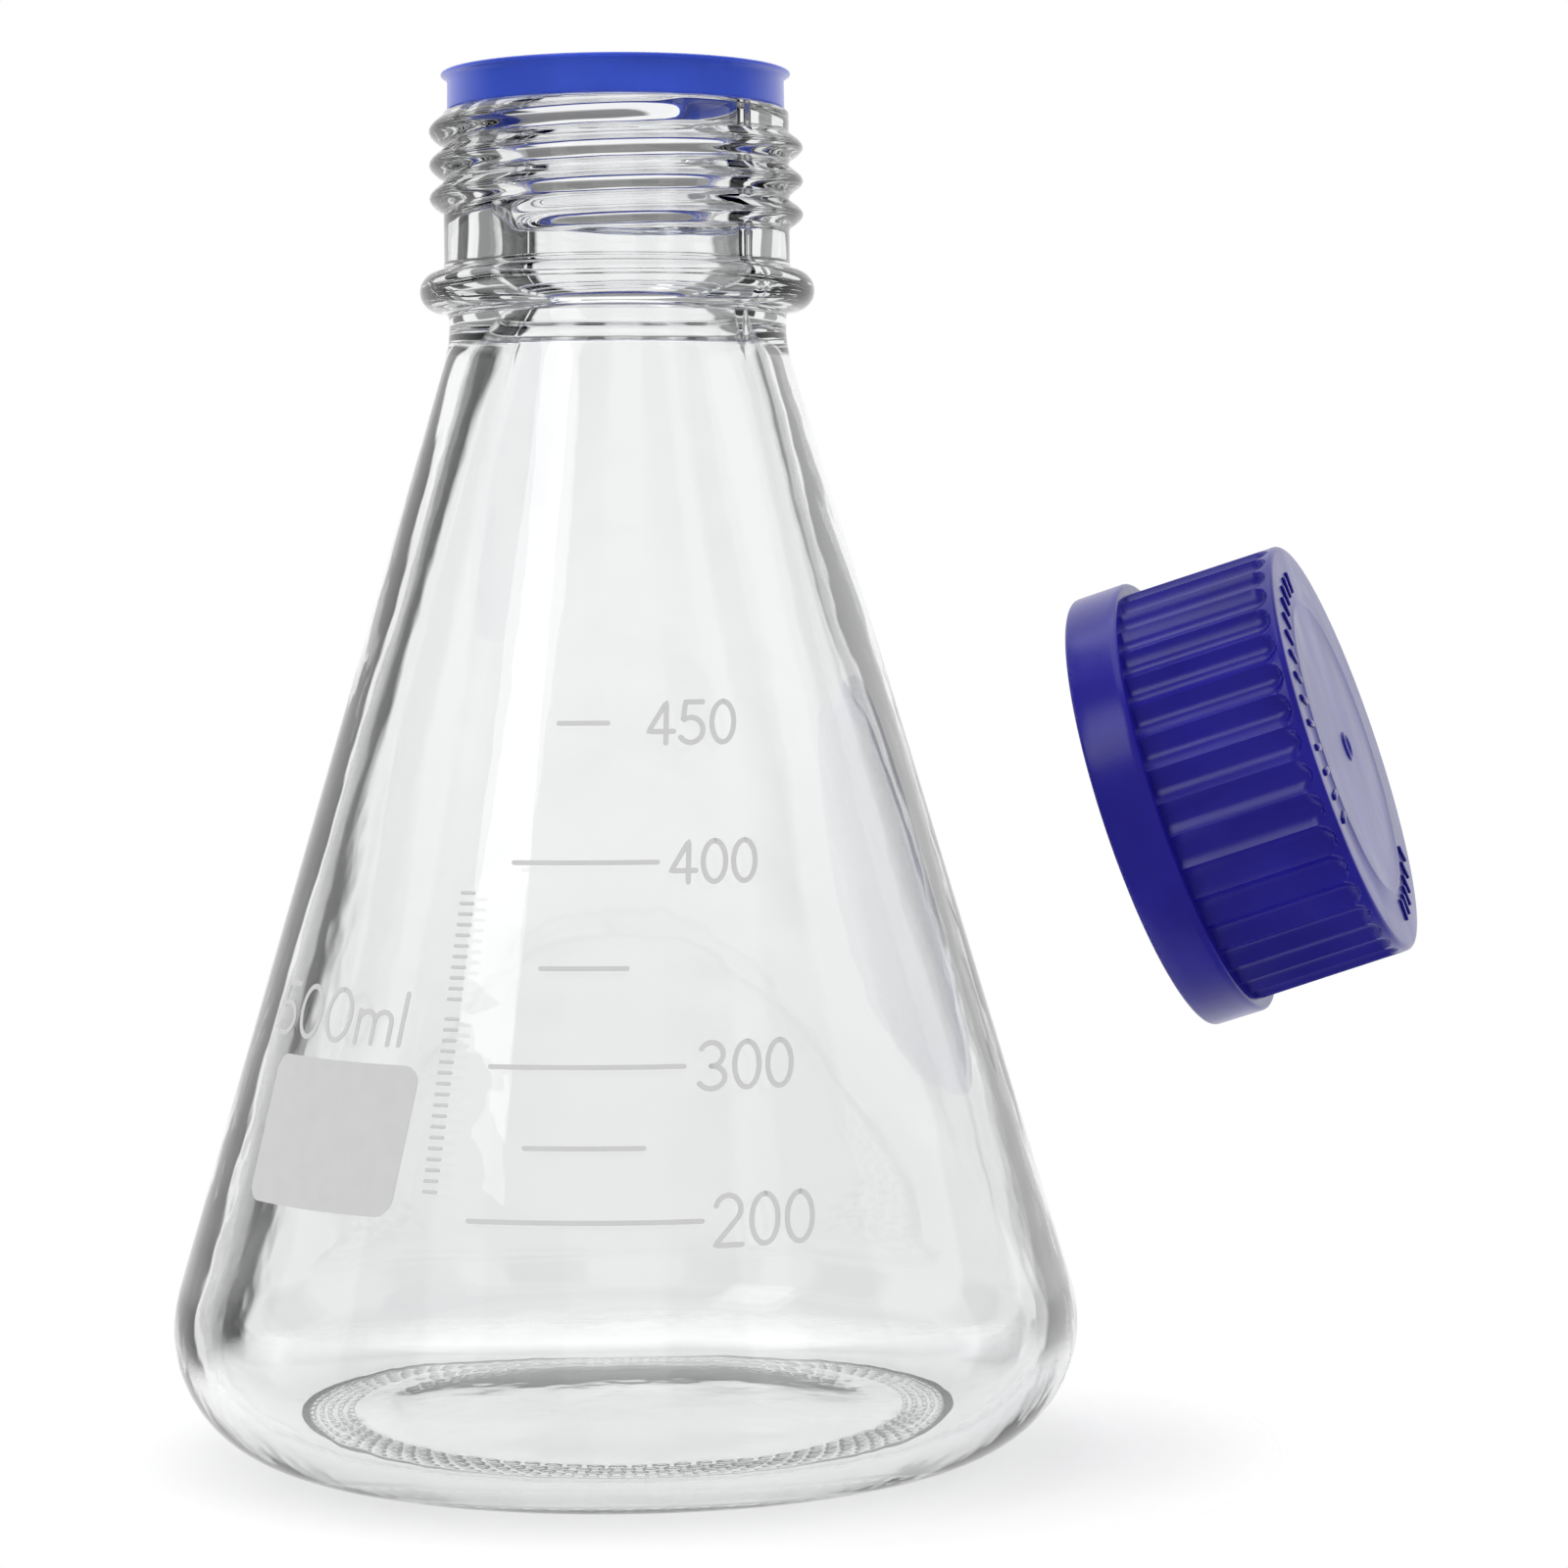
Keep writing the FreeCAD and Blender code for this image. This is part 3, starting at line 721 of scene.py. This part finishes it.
class FLASK_OT_ring(bpy.types.Operator):
    """Turn the pouring ring, with its plain band and thin flared lip"""
    bl_idname = "flask.pouring_ring"
    bl_label = "Pouring Ring"

    def execute(self, context):
        band = LIP_R - 0.72
        inside = 18.8
        seat = RIM_Z + 0.2
        bore = 15.6
        outline = [(inside + 0.2, RING_FOOT_Z)]
        outline += arc((band - 0.25, RING_FOOT_Z + 0.25), 0.25, -90, 0, 5)
        outline += line((band, RING_FOOT_Z + 0.4), (band - 0.04, RING_TOP_Z - 1.3), 6)
        outline += arc((band + 0.76, RING_TOP_Z - 1.3), 0.8, 180, 118, 7)
        outline += arc((LIP_R - 0.2, RING_TOP_Z - 0.28), 0.2, -40, 60, 5)
        outline += [(LIP_R - 0.32, RING_TOP_Z), (LIP_R - 0.75, RING_TOP_Z - 0.08)]
        outline += arc((band - 1.6, RING_TOP_Z + 0.1), 1.0, -20, -80, 6)
        outline += [(bore + 0.35, seat + 0.85), (bore, seat + 0.55), (bore, seat + 0.05)]
        outline += [(inside, seat), (inside, RING_FOOT_Z + 0.2)]
        verts, faces = lathe(outline, 256)
        plastic = plastic_material(
            "ring_finish", context.scene.flask_colours.ring, roughness=0.16, glow=0.35, coat=0.2)
        piece = make_piece("drip_ring", verts, faces, plastic)
        shade_by_angle(piece, 40)
        finish_piece(piece, "ring", "ring_plastic", "pouring_ring")
        return {"FINISHED"}


# The cap.

def cap_place():
    """From the cap's own frame, open end down at the origin, to where it hangs."""
    roofward = -Vector(TURN["axis"]).normalized()
    turn = roofward.to_track_quat("Z", "Y").to_matrix().to_4x4()
    return Matrix.Translation(Vector(TURN["pos_m"])) @ turn


def flute_shift(sizes, height, angles):
    """How far the cap's side falls back into its flutes, which end in round tips."""
    low = sizes.collar_t
    high = sizes.tall - 0.95
    if height < low or height > high:
        return np.zeros_like(angles)
    end = math.sqrt(1 - max(0.0, (height - (high - 1.9)) / 1.9) ** 2)
    across = (angles * sizes.flutes / FULL_TURN) % 1 - 0.5
    reach = np.clip(np.abs(across) / (0.5 * max(end, 1e-3)), 0, 1)
    return -sizes.flute_depth * end ** 0.7 * np.cos(reach * math.pi / 2) ** 0.9


class FLASK_OT_cap(bpy.types.Operator):
    """Mould the fluted cap with its collar, roof and inside thread"""
    bl_idname = "flask.cap"
    bl_label = "Screw Cap"

    def execute(self, context):
        sizes = context.scene.flask_cap_sizes
        edge = 0.7
        outline = [(0, sizes.tall - 0.05)]
        outline += line((2.6, sizes.tall - 0.05), (17.6, sizes.tall - 0.05), 4)
        outline += [(17.6, sizes.tall - 0.05), (17.8, sizes.tall), (18.4, sizes.tall),
                    (18.6, sizes.tall - 0.12), (22.5, sizes.tall - 0.12)]
        roof_r = sizes.body_r - 0.25
        outline += arc((roof_r - edge, sizes.tall - 0.12 - edge), edge, 90, 0, 7)
        outline += line((roof_r, sizes.tall - 0.86), (roof_r + 0.05, sizes.tall - 3.0), 18)
        outline += line(
            (roof_r + 0.05, sizes.tall - 3.0), (sizes.body_r, sizes.collar_t + 0.05), 8)
        outline += [(sizes.body_r, sizes.collar_t + 0.02), (sizes.body_r + 0.1, sizes.collar_t)]
        outline += arc((sizes.collar_r - 0.5, sizes.collar_t - 0.5), 0.5, 90, 10, 5)
        outline += line((sizes.collar_r, sizes.collar_t - 1), (sizes.collar_r, 0.6), 4)
        outline += arc((sizes.collar_r - 0.45, 0.45), 0.45, 0, -90, 5)
        outline += arc((sizes.bore_r + 0.6, 0.6), 0.6, -90, -180, 5)
        inner_top = sizes.tall - sizes.roof
        first_inner = len(outline)
        outline += line((sizes.bore_r, 1.4), (sizes.bore_r, 16.0), 50)
        outline += line((sizes.bore_r, 16.0), (sizes.bore_r, inner_top - 0.5), 3)
        outline += arc((sizes.bore_r - 0.5, inner_top - 0.5), 0.5, 0, 90, 4)
        outline += [(20.0, inner_top), (8.0, inner_top), (0, inner_top)]

        def shift(row, radius, height, angles):
            if row >= first_inner:
                if radius < sizes.bore_r - 0.01:
                    return np.zeros_like(angles)
                return -1.6 * helix_ridge(
                    angles, height, low=4.0, start=0, turns=2.25, pitch=4.0, half=1.15, fade=0.06)
            if radius < roof_r - 0.08 or height <= sizes.collar_t:
                return np.zeros_like(angles)
            return flute_shift(sizes, height, angles)

        verts, faces = lathe(outline, sizes.flutes * 14, shift)
        plastic = plastic_material(
            "cap_finish", context.scene.flask_colours.cap, roughness=0.17, glow=0.04, coat=0.0)
        piece = make_piece("fluted_cap", verts, faces, plastic, place=cap_place())
        shade_by_angle(piece, 38)
        finish_piece(piece, "cap", "cap_plastic", "screw_cap")
        return {"FINISHED"}


class FLASK_OT_seal(bpy.types.Operator):
    """Turn the seal lip under the cap's roof"""
    bl_idname = "flask.seal_lip"
    bl_label = "Seal Lip"

    def execute(self, context):
        sizes = context.scene.flask_cap_sizes
        top = sizes.tall - sizes.roof - 0.05
        outline = [(16.2, top), (16.35, top - 0.35)]
        outline += arc((16.8, top - 0.3), 0.25, 180, 350, 7)
        outline += [(17.3, top - 0.2), (18.5, top - 0.2)]
        outline += arc((19.0, top - 0.3), 0.25, 190, 360, 7)
        outline += [(19.45, top)]
        verts, faces = lathe(outline, 192)
        piece = make_piece(
            "seal_ring", verts, faces, bpy.data.materials["cap_finish"], place=cap_place())
        finish_piece(piece, "cap_carrier", "cap_plastic", "cap_seal_lip")
        return {"FINISHED"}


def pill(length, width, tall, steps=6):
    """A low bar with round ends, standing on the XY plane, for a tree to repeat."""
    half = (length - width) / 2
    ring = []
    for side, start in ((1, -90), (-1, 90)):
        for angle in np.linspace(start, start + 180, steps):
            ring.append((side * half + width / 2 * math.cos(math.radians(angle)),
                         width / 2 * math.sin(math.radians(angle))))
    count = len(ring)
    verts = [(x, y, 0) for x, y in ring] + [(x, y, tall * 0.7) for x, y in ring]
    verts += [(x * 0.93, y * 0.8, tall) for x, y in ring]
    faces = [tuple(reversed(range(count))), tuple(range(2 * count, 3 * count))]
    for level in (0, count):
        for index in range(count):
            after = (index + 1) % count
            faces.append((level + index, level + after,
                          level + count + after, level + count + index))
    return verts, faces


def roof_mark_tree(material, seed):
    """Short raised bars that stand round the cap's roof along two arcs."""
    tree, identifiers = tree_with("roof_bars", (
        ("Bars", "NodeSocketInt", 9),
        ("Radius", "NodeSocketFloat", 0.0208),
        ("Start", "NodeSocketFloat", 0.0),
        ("Step", "NodeSocketFloat", 0.14),
        ("Height", "NodeSocketFloat", 0.0252),
    ))
    graph = Graph(tree)
    given = graph.given()
    points = graph.add(
        "GeometryNodeMeshLine", {}, {"Count": given["Bars"], "Offset": (0, 0, 0)})
    angle = graph.add("GeometryNodeInputIndex") * given["Step"] + given["Start"]
    where = on_circle(graph, given["Radius"], angle, given["Height"])
    spread = graph.add("GeometryNodeSetPosition", {}, {"Geometry": points, "Position": where})
    turn = graph.add("ShaderNodeCombineXYZ", {}, {"Z": angle})
    shape = graph.add("GeometryNodeObjectInfo", {}, {"Object": seed}, out="Geometry")
    bars = graph.add("GeometryNodeInstanceOnPoints", {}, {
        "Points": spread, "Instance": shape, "Rotation": turn})
    close_tree(graph, bars, material)
    return tree, identifiers


class FLASK_OT_roof_marks(bpy.types.Operator):
    """Raise the plain bars and the gate mark on the cap's roof"""
    bl_idname = "flask.roof_marks"
    bl_label = "Roof Marks"

    def execute(self, context):
        tall = context.scene.flask_cap_sizes.tall
        material = bpy.data.materials["cap_finish"]
        seed = seed_object("bar_seed", *pill(length=2.7, width=0.85, tall=0.3))
        tree, identifiers = roof_mark_tree(material, seed)
        for name, count, first in (("roof_bars_long", 14, 98), ("roof_bars_short", 6, 276)):
            piece = grown(name, tree, identifiers, {
                "Bars": count, "Start": math.radians(first), "Height": (tall - 0.13) * MM,
            }, cap_place())
            finish_piece(piece, "cap", "cap_plastic")
        drop(seed)
        outline = [(0, tall - 0.35), (0.7, tall - 0.32), (1.15, tall - 0.02)]
        outline += arc((1.6, tall - 0.05), 0.24, 130, 20, 5)
        outline += [(2.0, tall - 0.2), (0, tall - 0.5)]
        verts, faces = lathe(outline, 48)
        gate = make_piece("gate_mark", verts, faces, material, place=cap_place())
        finish_piece(gate, "cap", "cap_plastic", "cap_roof_marks")
        return {"FINISHED"}


# The print. Strokes are drawn flat, in millimetres, and laid on the cone.

def curve(centre_x, centre_y, across, up, start, end, steps=14):
    """Points along part of an oval, in degrees."""
    return [
        (centre_x + across * math.cos(math.radians(angle)),
         centre_y + up * math.sin(math.radians(angle)))
        for angle in np.linspace(start, end, steps)
    ]


def glyphs():
    """Each sign as strokes in a cell one high and about 0.56 wide, foot at 0."""
    return {
        "0": [curve(0.28, 0.5, 0.28, 0.5, 90, 450, 28)],
        "2": [curve(0.27, 0.72, 0.26, 0.28, 165, -38) + [(0.0, 0.0), (0.56, 0.0)]],
        "3": [curve(0.24, 0.74, 0.26, 0.26, 150, -90),
              curve(0.24, 0.24, 0.30, 0.25, 90, -150)],
        "4": [[(0.42, 0.0), (0.42, 1.0), (0.0, 0.28), (0.6, 0.28)]],
        "5": [[(0.52, 1.0), (0.1, 1.0), (0.05, 0.55)]
              + curve(0.24, 0.31, 0.3, 0.31, 130, -145)],
        "m": [[(0.0, 0.0), (0.0, 0.62)],
              curve(0.17, 0.42, 0.17, 0.2, 180, 0, 9) + [(0.34, 0.0)],
              curve(0.51, 0.42, 0.17, 0.2, 180, 0, 9) + [(0.68, 0.0)]],
        "l": [[(0.0, 0.0), (0.0, 1.0)]],
    }


ADVANCE = {"0": 0.76, "2": 0.76, "3": 0.76, "4": 0.78, "5": 0.76, "m": 0.9, "l": 0.3}


def on_cone(angle, height, across, up, lift):
    """A point on the cone: across to the right and up the slope from an anchor."""
    slope = math.radians(bpy.context.scene.flask_glass_sizes.cone_angle)
    level = height + up * math.cos(slope)
    radius = cone_radius(level)
    bearing = math.radians(angle) + across / radius
    out = radius + lift * math.cos(slope)
    return (out * math.cos(bearing), out * math.sin(bearing), level + lift * math.sin(slope))


def resampled(points, step):
    """A path with points no further apart than a step."""
    path = [points[0]]
    for start, end in zip(points, points[1:]):
        count = max(1, math.ceil(math.dist(start, end) / step))
        for index in range(1, count + 1):
            share = index / count
            path.append((start[0] + (end[0] - start[0]) * share,
                         start[1] + (end[1] - start[1]) * share))
    return path


def stroke_shape(path, width):
    """Outline rows of a stroke: a left and right point for each place along it, with
    round ends."""
    points = np.array(resampled(path, 0.35))
    along = np.gradient(points, axis=0)
    along /= np.maximum(np.linalg.norm(along, axis=1), 1e-9)[:, None]
    side = np.column_stack([-along[:, 1], along[:, 0]]) * width / 2
    rows = []
    for angle in (80, 50, 20):
        back = math.sin(math.radians(angle)) * width / 2
        narrow = math.cos(math.radians(angle))
        rows.append((points[0] - along[0] * back + side[0] * narrow,
                     points[0] - along[0] * back - side[0] * narrow))
    rows += [(point + shift, point - shift) for point, shift in zip(points, side)]
    for angle in (20, 50, 80):
        ahead = math.sin(math.radians(angle)) * width / 2
        narrow = math.cos(math.radians(angle))
        rows.append((points[-1] + along[-1] * ahead + side[-1] * narrow,
                     points[-1] + along[-1] * ahead - side[-1] * narrow))
    return rows


def lay_rows(rows, angle, height, lift, verts, faces):
    """Add a thin slab to a mesh: rows of point pairs laid on the cone."""
    first = len(verts)
    for left, right in rows:
        for level in (0.025, lift):
            verts.append(on_cone(angle, height, left[0], left[1], level))
            verts.append(on_cone(angle, height, right[0], right[1], level))
    for row in range(len(rows) - 1):
        a = first + row * 4
        b = a + 4
        faces += [(a + 2, a + 3, b + 3, b + 2), (a, b, b + 1, a + 1),
                  (a, a + 2, b + 2, b), (a + 1, b + 1, b + 3, a + 3)]
    end = first + (len(rows) - 1) * 4
    faces += [(first, first + 1, first + 3, first + 2), (end, end + 2, end + 3, end + 1)]


class Print:
    """Strokes gathered into one enamel mesh."""

    def __init__(self, sizes):
        self.sizes = sizes
        self.verts = []
        self.faces = []

    def stroke(self, path, angle, height, width=None):
        rows = stroke_shape(path, width or self.sizes.stroke)
        lay_rows(rows, angle, height, self.sizes.lift, self.verts, self.faces)

    def text(self, words, angle, height, left, tall, stretch=1.0):
        """Signs in a row, with the anchor half-way up them."""
        across = left
        for sign in words:
            for path in glyphs()[sign]:
                placed = [(across + x * tall * stretch, (y - 0.5) * tall) for x, y in path]
                self.stroke(placed, angle, height)
            across += ADVANCE[sign] * tall * stretch

    def piece(self, name, node):
        material = bpy.data.materials["enamel_finish"]
        piece = make_piece(name, self.verts, self.faces, material, smooth=False)
        finish_piece(piece, "flask", "grey_enamel", node)


# Height, length, volume, where the volume starts, its size and how far the line lies to
# the right of the scale's place, for each line of the scale.
SCALE = (
    (88.5, 6.2, "450", 6.55, 4.75, -0.85),
    (73.0, 16.9, "400", 9.4, 4.7, -0.3),
    (61.4, 10.3, "", 0.0, 0.0, -0.15),
    (50.7, 22.4, "300", 13.1, 5.15, 0.35),
    (42.0, 13.9, "", 0.0, 0.0, 0.3),
    (34.1, 26.8, "200", 15.0, 5.5, 0.45),
)


class FLASK_OT_scale(bpy.types.Operator):
    """Print the lines of the scale and the volumes beside them"""
    bl_idname = "flask.scale"
    bl_label = "Scale"

    def execute(self, context):
        sizes = context.scene.flask_print_sizes
        enamel_material("enamel_finish", context.scene.flask_colours.enamel)
        lines = Print(sizes)
        numerals = Print(sizes)
        for height, length, volume, left, tall, aside in SCALE:
            half = (length - sizes.stroke) / 2
            lines.stroke([(aside - half, 0), (aside + half, 0)], sizes.scale_angle, height, 0.55)
            if volume:
                numerals.text(
                    volume, sizes.scale_angle, height, left, tall * sizes.numerals)
        lines.piece("printed_lines", "scale_lines")
        numerals.piece("printed_numerals", "scale_numerals")
        return {"FINISHED"}


class FLASK_OT_capacity(bpy.types.Operator):
    """Print the flask's size over the marking field"""
    bl_idname = "flask.capacity"
    bl_label = "Capacity"

    def execute(self, context):
        sizes = context.scene.flask_print_sizes
        mark = Print(sizes)
        mark.text(
            "500ml", sizes.field_angle, height=55.4, left=-15.0, tall=5.9, stretch=1.26)
        mark.piece("printed_capacity", "capacity_mark")
        return {"FINISHED"}


class FLASK_OT_field(bpy.types.Operator):
    """Print the field with round corners that is left for writing on"""
    bl_idname = "flask.field"
    bl_label = "Marking Field"

    def execute(self, context):
        sizes = context.scene.flask_print_sizes
        low = FIELD_BOX[0][2] / MM + 0.1
        high = FIELD_BOX[1][2] / MM - 0.1
        middle = (low + high) / 2
        tall = (high - low) / math.cos(math.radians(
            context.scene.flask_glass_sizes.cone_angle)) / 2
        wide = 12.4
        corner = 2.2
        rows = []
        for x in np.concatenate([
                -wide + corner * (1 - np.cos(np.linspace(0.05, math.pi / 2, 8))),
                np.linspace(-wide + corner, wide - corner, 40)[1:-1],
                wide - corner * (1 - np.cos(np.linspace(math.pi / 2, 0.05, 8)))]):
            past = max(0.0, abs(x) - (wide - corner))
            reach = tall - corner + math.sqrt(max(0.0, corner ** 2 - past ** 2))
            rows.append(((x, reach), (x, -reach)))
        verts, faces = [], []
        lay_rows(rows, sizes.field_angle, middle, sizes.lift, verts, faces)
        material = bpy.data.materials["enamel_finish"]
        piece = make_piece("writing_field", verts, faces, material, smooth=False)
        finish_piece(piece, "flask", "grey_enamel", "marking_field")
        return {"FINISHED"}


def tick_tree(material, seed):
    """A run of short ticks up the cone, each turned to lie on the glass."""
    tree, identifiers = tree_with("tick_run", (
        ("Ticks", "NodeSocketInt", 11),
        ("Start", "NodeSocketVector", None),
        ("Step", "NodeSocketVector", None),
        ("Turn", "NodeSocketVector", None),
    ))
    graph = Graph(tree)
    given = graph.given()
    points = graph.add("GeometryNodeMeshLine", {}, {
        "Count": given["Ticks"], "Start Location": given["Start"], "Offset": given["Step"]})
    shape = graph.add("GeometryNodeObjectInfo", {}, {"Object": seed}, out="Geometry")
    ticks = graph.add("GeometryNodeInstanceOnPoints", {}, {
        "Points": points, "Instance": shape, "Rotation": given["Turn"]})
    close_tree(graph, ticks, material)
    return tree, identifiers


class FLASK_OT_ticks(bpy.types.Operator):
    """Print the two runs of short ticks beside the scale"""
    bl_idname = "flask.ticks"
    bl_label = "Tick Row"

    def execute(self, context):
        sizes = context.scene.flask_print_sizes
        glass = context.scene.flask_glass_sizes
        angle = sizes.row_angle
        slope = math.radians(glass.cone_angle)
        seed = seed_object("tick_seed", *pill(length=1.9, width=0.42, tall=0.07))
        tree, identifiers = tick_tree(bpy.data.materials["enamel_finish"], seed)
        # A tick lies along X with its back down, so it is leant back to the slope first.
        turn = (math.pi / 2 - slope, 0, math.radians(angle) + math.pi / 2)
        parts = []
        height = 37.0
        apart = 1.22
        lift = 0.03
        for name, count in (("tick_run_low", 17), ("tick_run_high", 11)):
            first = Vector(on_cone(angle, height, 0, 0, lift)) * MM
            second = Vector(on_cone(angle, height, 0, apart, lift)) * MM
            piece = grown(name, tree, identifiers, {
                "Ticks": count, "Start": first, "Step": second - first, "Turn": turn})
            parts.append(piece)
            height += count * apart * math.cos(slope) + 1.0
        drop(seed)
        finish_piece(parts[0], "flask", "grey_enamel", "tick_row")
        finish_piece(parts[1], "flask", "grey_enamel")
        return {"FINISHED"}


# The stage.

def camera_turn(stage):
    """The camera's axes, from its yaw, pitch and roll."""
    ahead = Vector((math.sin(stage.yaw) * math.cos(stage.pitch),
                    math.cos(stage.yaw) * math.cos(stage.pitch), -math.sin(stage.pitch)))
    right = Vector((math.cos(stage.yaw), -math.sin(stage.yaw), 0))
    up = right.cross(ahead)
    right, up = (math.cos(stage.roll) * right + math.sin(stage.roll) * up,
                 math.cos(stage.roll) * up - math.sin(stage.roll) * right)
    return Matrix((right, up, -ahead)).transposed().to_4x4()


def soft_lamp(name, place, aim, width, height, watts):
    data = bpy.data.lights.new(name, "AREA")
    data.shape = "RECTANGLE"
    data.size = width
    data.size_y = height
    data.energy = watts
    lamp = bpy.data.objects.new(name, data)
    lamp.location = place
    lamp.visible_camera = False
    lamp.rotation_euler = (Vector(aim) - Vector(place)).to_track_quat("-Z", "Y").to_euler()
    bpy.context.scene.collection.objects.link(lamp)


def studio_world():
    """A white room with dark flags beside its windows, which clear glass needs for its
    edges to show. Only light that has come through glass meets the flags."""
    world = bpy.data.worlds.new("white_room")
    world.use_nodes = True
    world.node_tree.nodes.clear()
    graph = Graph(world.node_tree)
    way = graph.add("ShaderNodeTexCoord", {}, {}, out="Generated")
    x, y, z = graph.add("ShaderNodeSeparateXYZ", {}, {"Vector": way}, out=("X", "Y", "Z"))
    glossy, through = graph.add(
        "ShaderNodeLightPath", {}, {}, out=("Is Glossy Ray", "Is Transmission Ray"))
    # Windows stand a quarter turn apart, each between two dark flags, the left one darker.
    bearing = graph.add(graph.math_node, {"operation": "ARCTAN2"}, {0: x, 1: y})
    off_window = graph.add(graph.math_node, {"operation": "PINGPONG"}, {
        0: bearing - math.radians(3), 1: math.radians(45)})
    turned = graph.add(graph.math_node, {"operation": "FLOORED_MODULO"}, {
        0: bearing, 1: math.radians(90)})
    darkness = between(graph, turned, math.radians(44), math.radians(46), 0.68, 0.96)
    flags = (between(graph, off_window, math.radians(13.5), math.radians(16.5))
             * between(graph, off_window, math.radians(39), math.radians(36)))
    # The flags stand about level. A dark ledge runs all round above them and below them.
    high = graph.add(graph.math_node, {"operation": "ABSOLUTE"}, {0: z + 0.04})
    band = between(graph, high, 0.52, 0.44)
    ledge = between(graph, high, 0.5, 0.58, 0.0, 0.75) * between(graph, high, 0.84, 0.74)
    # The ground is a little greyer, and shiny faces mirror less of the room in front.
    below = between(graph, z, 0.02, -0.14, 0.0, 0.11)
    front = between(graph, y, -0.1, 0.75, 0.9, 0.0)
    strength = (1 - through * (flags * darkness * band + ledge + below)
                - glossy * (1 - through) * front)
    light = graph.add(
        "ShaderNodeBackground", {}, {"Color": (1, 1, 1, 1), "Strength": strength})
    graph.add("ShaderNodeOutputWorld", {}, {"Surface": light})
    return world


class FLASK_OT_stage(bpy.types.Operator):
    """Lay the floor, hang the lamps and set up the camera"""
    bl_idname = "flask.stage"
    bl_label = "Stage"

    def execute(self, context):
        scene = context.scene
        scene.view_settings.view_transform = "Standard"
        scene.world = studio_world()
        mesh = bpy.data.meshes.new("floor")
        edge = [(FLOOR_R * math.cos(angle), FLOOR_R * math.sin(angle), 0)
                for angle in np.linspace(0, FULL_TURN, 96, endpoint=False)]
        mesh.from_pydata(edge, [], [tuple(range(len(edge)))])
        mesh.materials.append(floor_material())
        floor = bpy.data.objects.new("floor", mesh)
        scene.collection.objects.link(floor)
        soft_lamp("top_lamp", (0, 0.1, 1.3), (0, 0, 0), width=1.2, height=1.2, watts=4.2)
        soft_lamp(
            "left_lamp", (-0.7, -0.7, 0.8), (0, 0, 0.08), width=0.4, height=0.6, watts=1.4)
        stage = scene.flask_stage
        data = bpy.data.cameras.new("camera")
        data.lens = stage.lens
        camera = bpy.data.objects.new("camera", data)
        camera.matrix_world = (
            Matrix.Translation((0, -stage.distance, stage.eye)) @ camera_turn(stage))
        scene.collection.objects.link(camera)
        scene.camera = camera
        return {"FINISHED"}


class FLASK_PT_panel(bpy.types.Panel):
    """The flask's operators in the sidebar"""
    bl_label = "Conical Flask"
    bl_space_type = "VIEW_3D"
    bl_region_type = "UI"
    bl_category = "Flask"

    def draw(self, context):
        for operator in OPERATORS:
            self.layout.operator(operator.bl_idname)


OPERATORS = (
    FLASK_OT_glass,
    FLASK_OT_stipple,
    FLASK_OT_ring,
    FLASK_OT_cap,
    FLASK_OT_seal,
    FLASK_OT_roof_marks,
    FLASK_OT_scale,
    FLASK_OT_capacity,
    FLASK_OT_field,
    FLASK_OT_ticks,
    FLASK_OT_stage,
)
GROUPS = {
    "flask_glass_sizes": GlassSizes,
    "flask_cap_sizes": CapSizes,
    "flask_print_sizes": PrintSizes,
    "flask_colours": FinishColours,
    "flask_stage": StageSizes,
}


def register():
    for name, group in GROUPS.items():
        bpy.utils.register_class(group)
        setattr(bpy.types.Scene, name, bpy.props.PointerProperty(type=group))
    for kind in (*OPERATORS, FLASK_PT_panel):
        bpy.utils.register_class(kind)


def unregister():
    for kind in (FLASK_PT_panel, *reversed(OPERATORS)):
        bpy.utils.unregister_class(kind)
    for name, group in reversed(GROUPS.items()):
        delattr(bpy.types.Scene, name)
        bpy.utils.unregister_class(group)


def main():
    register()
    for operator in OPERATORS:
        family, name = operator.bl_idname.split(".")
        getattr(getattr(bpy.ops, family), name)()


if __name__ == "__main__":
    main()
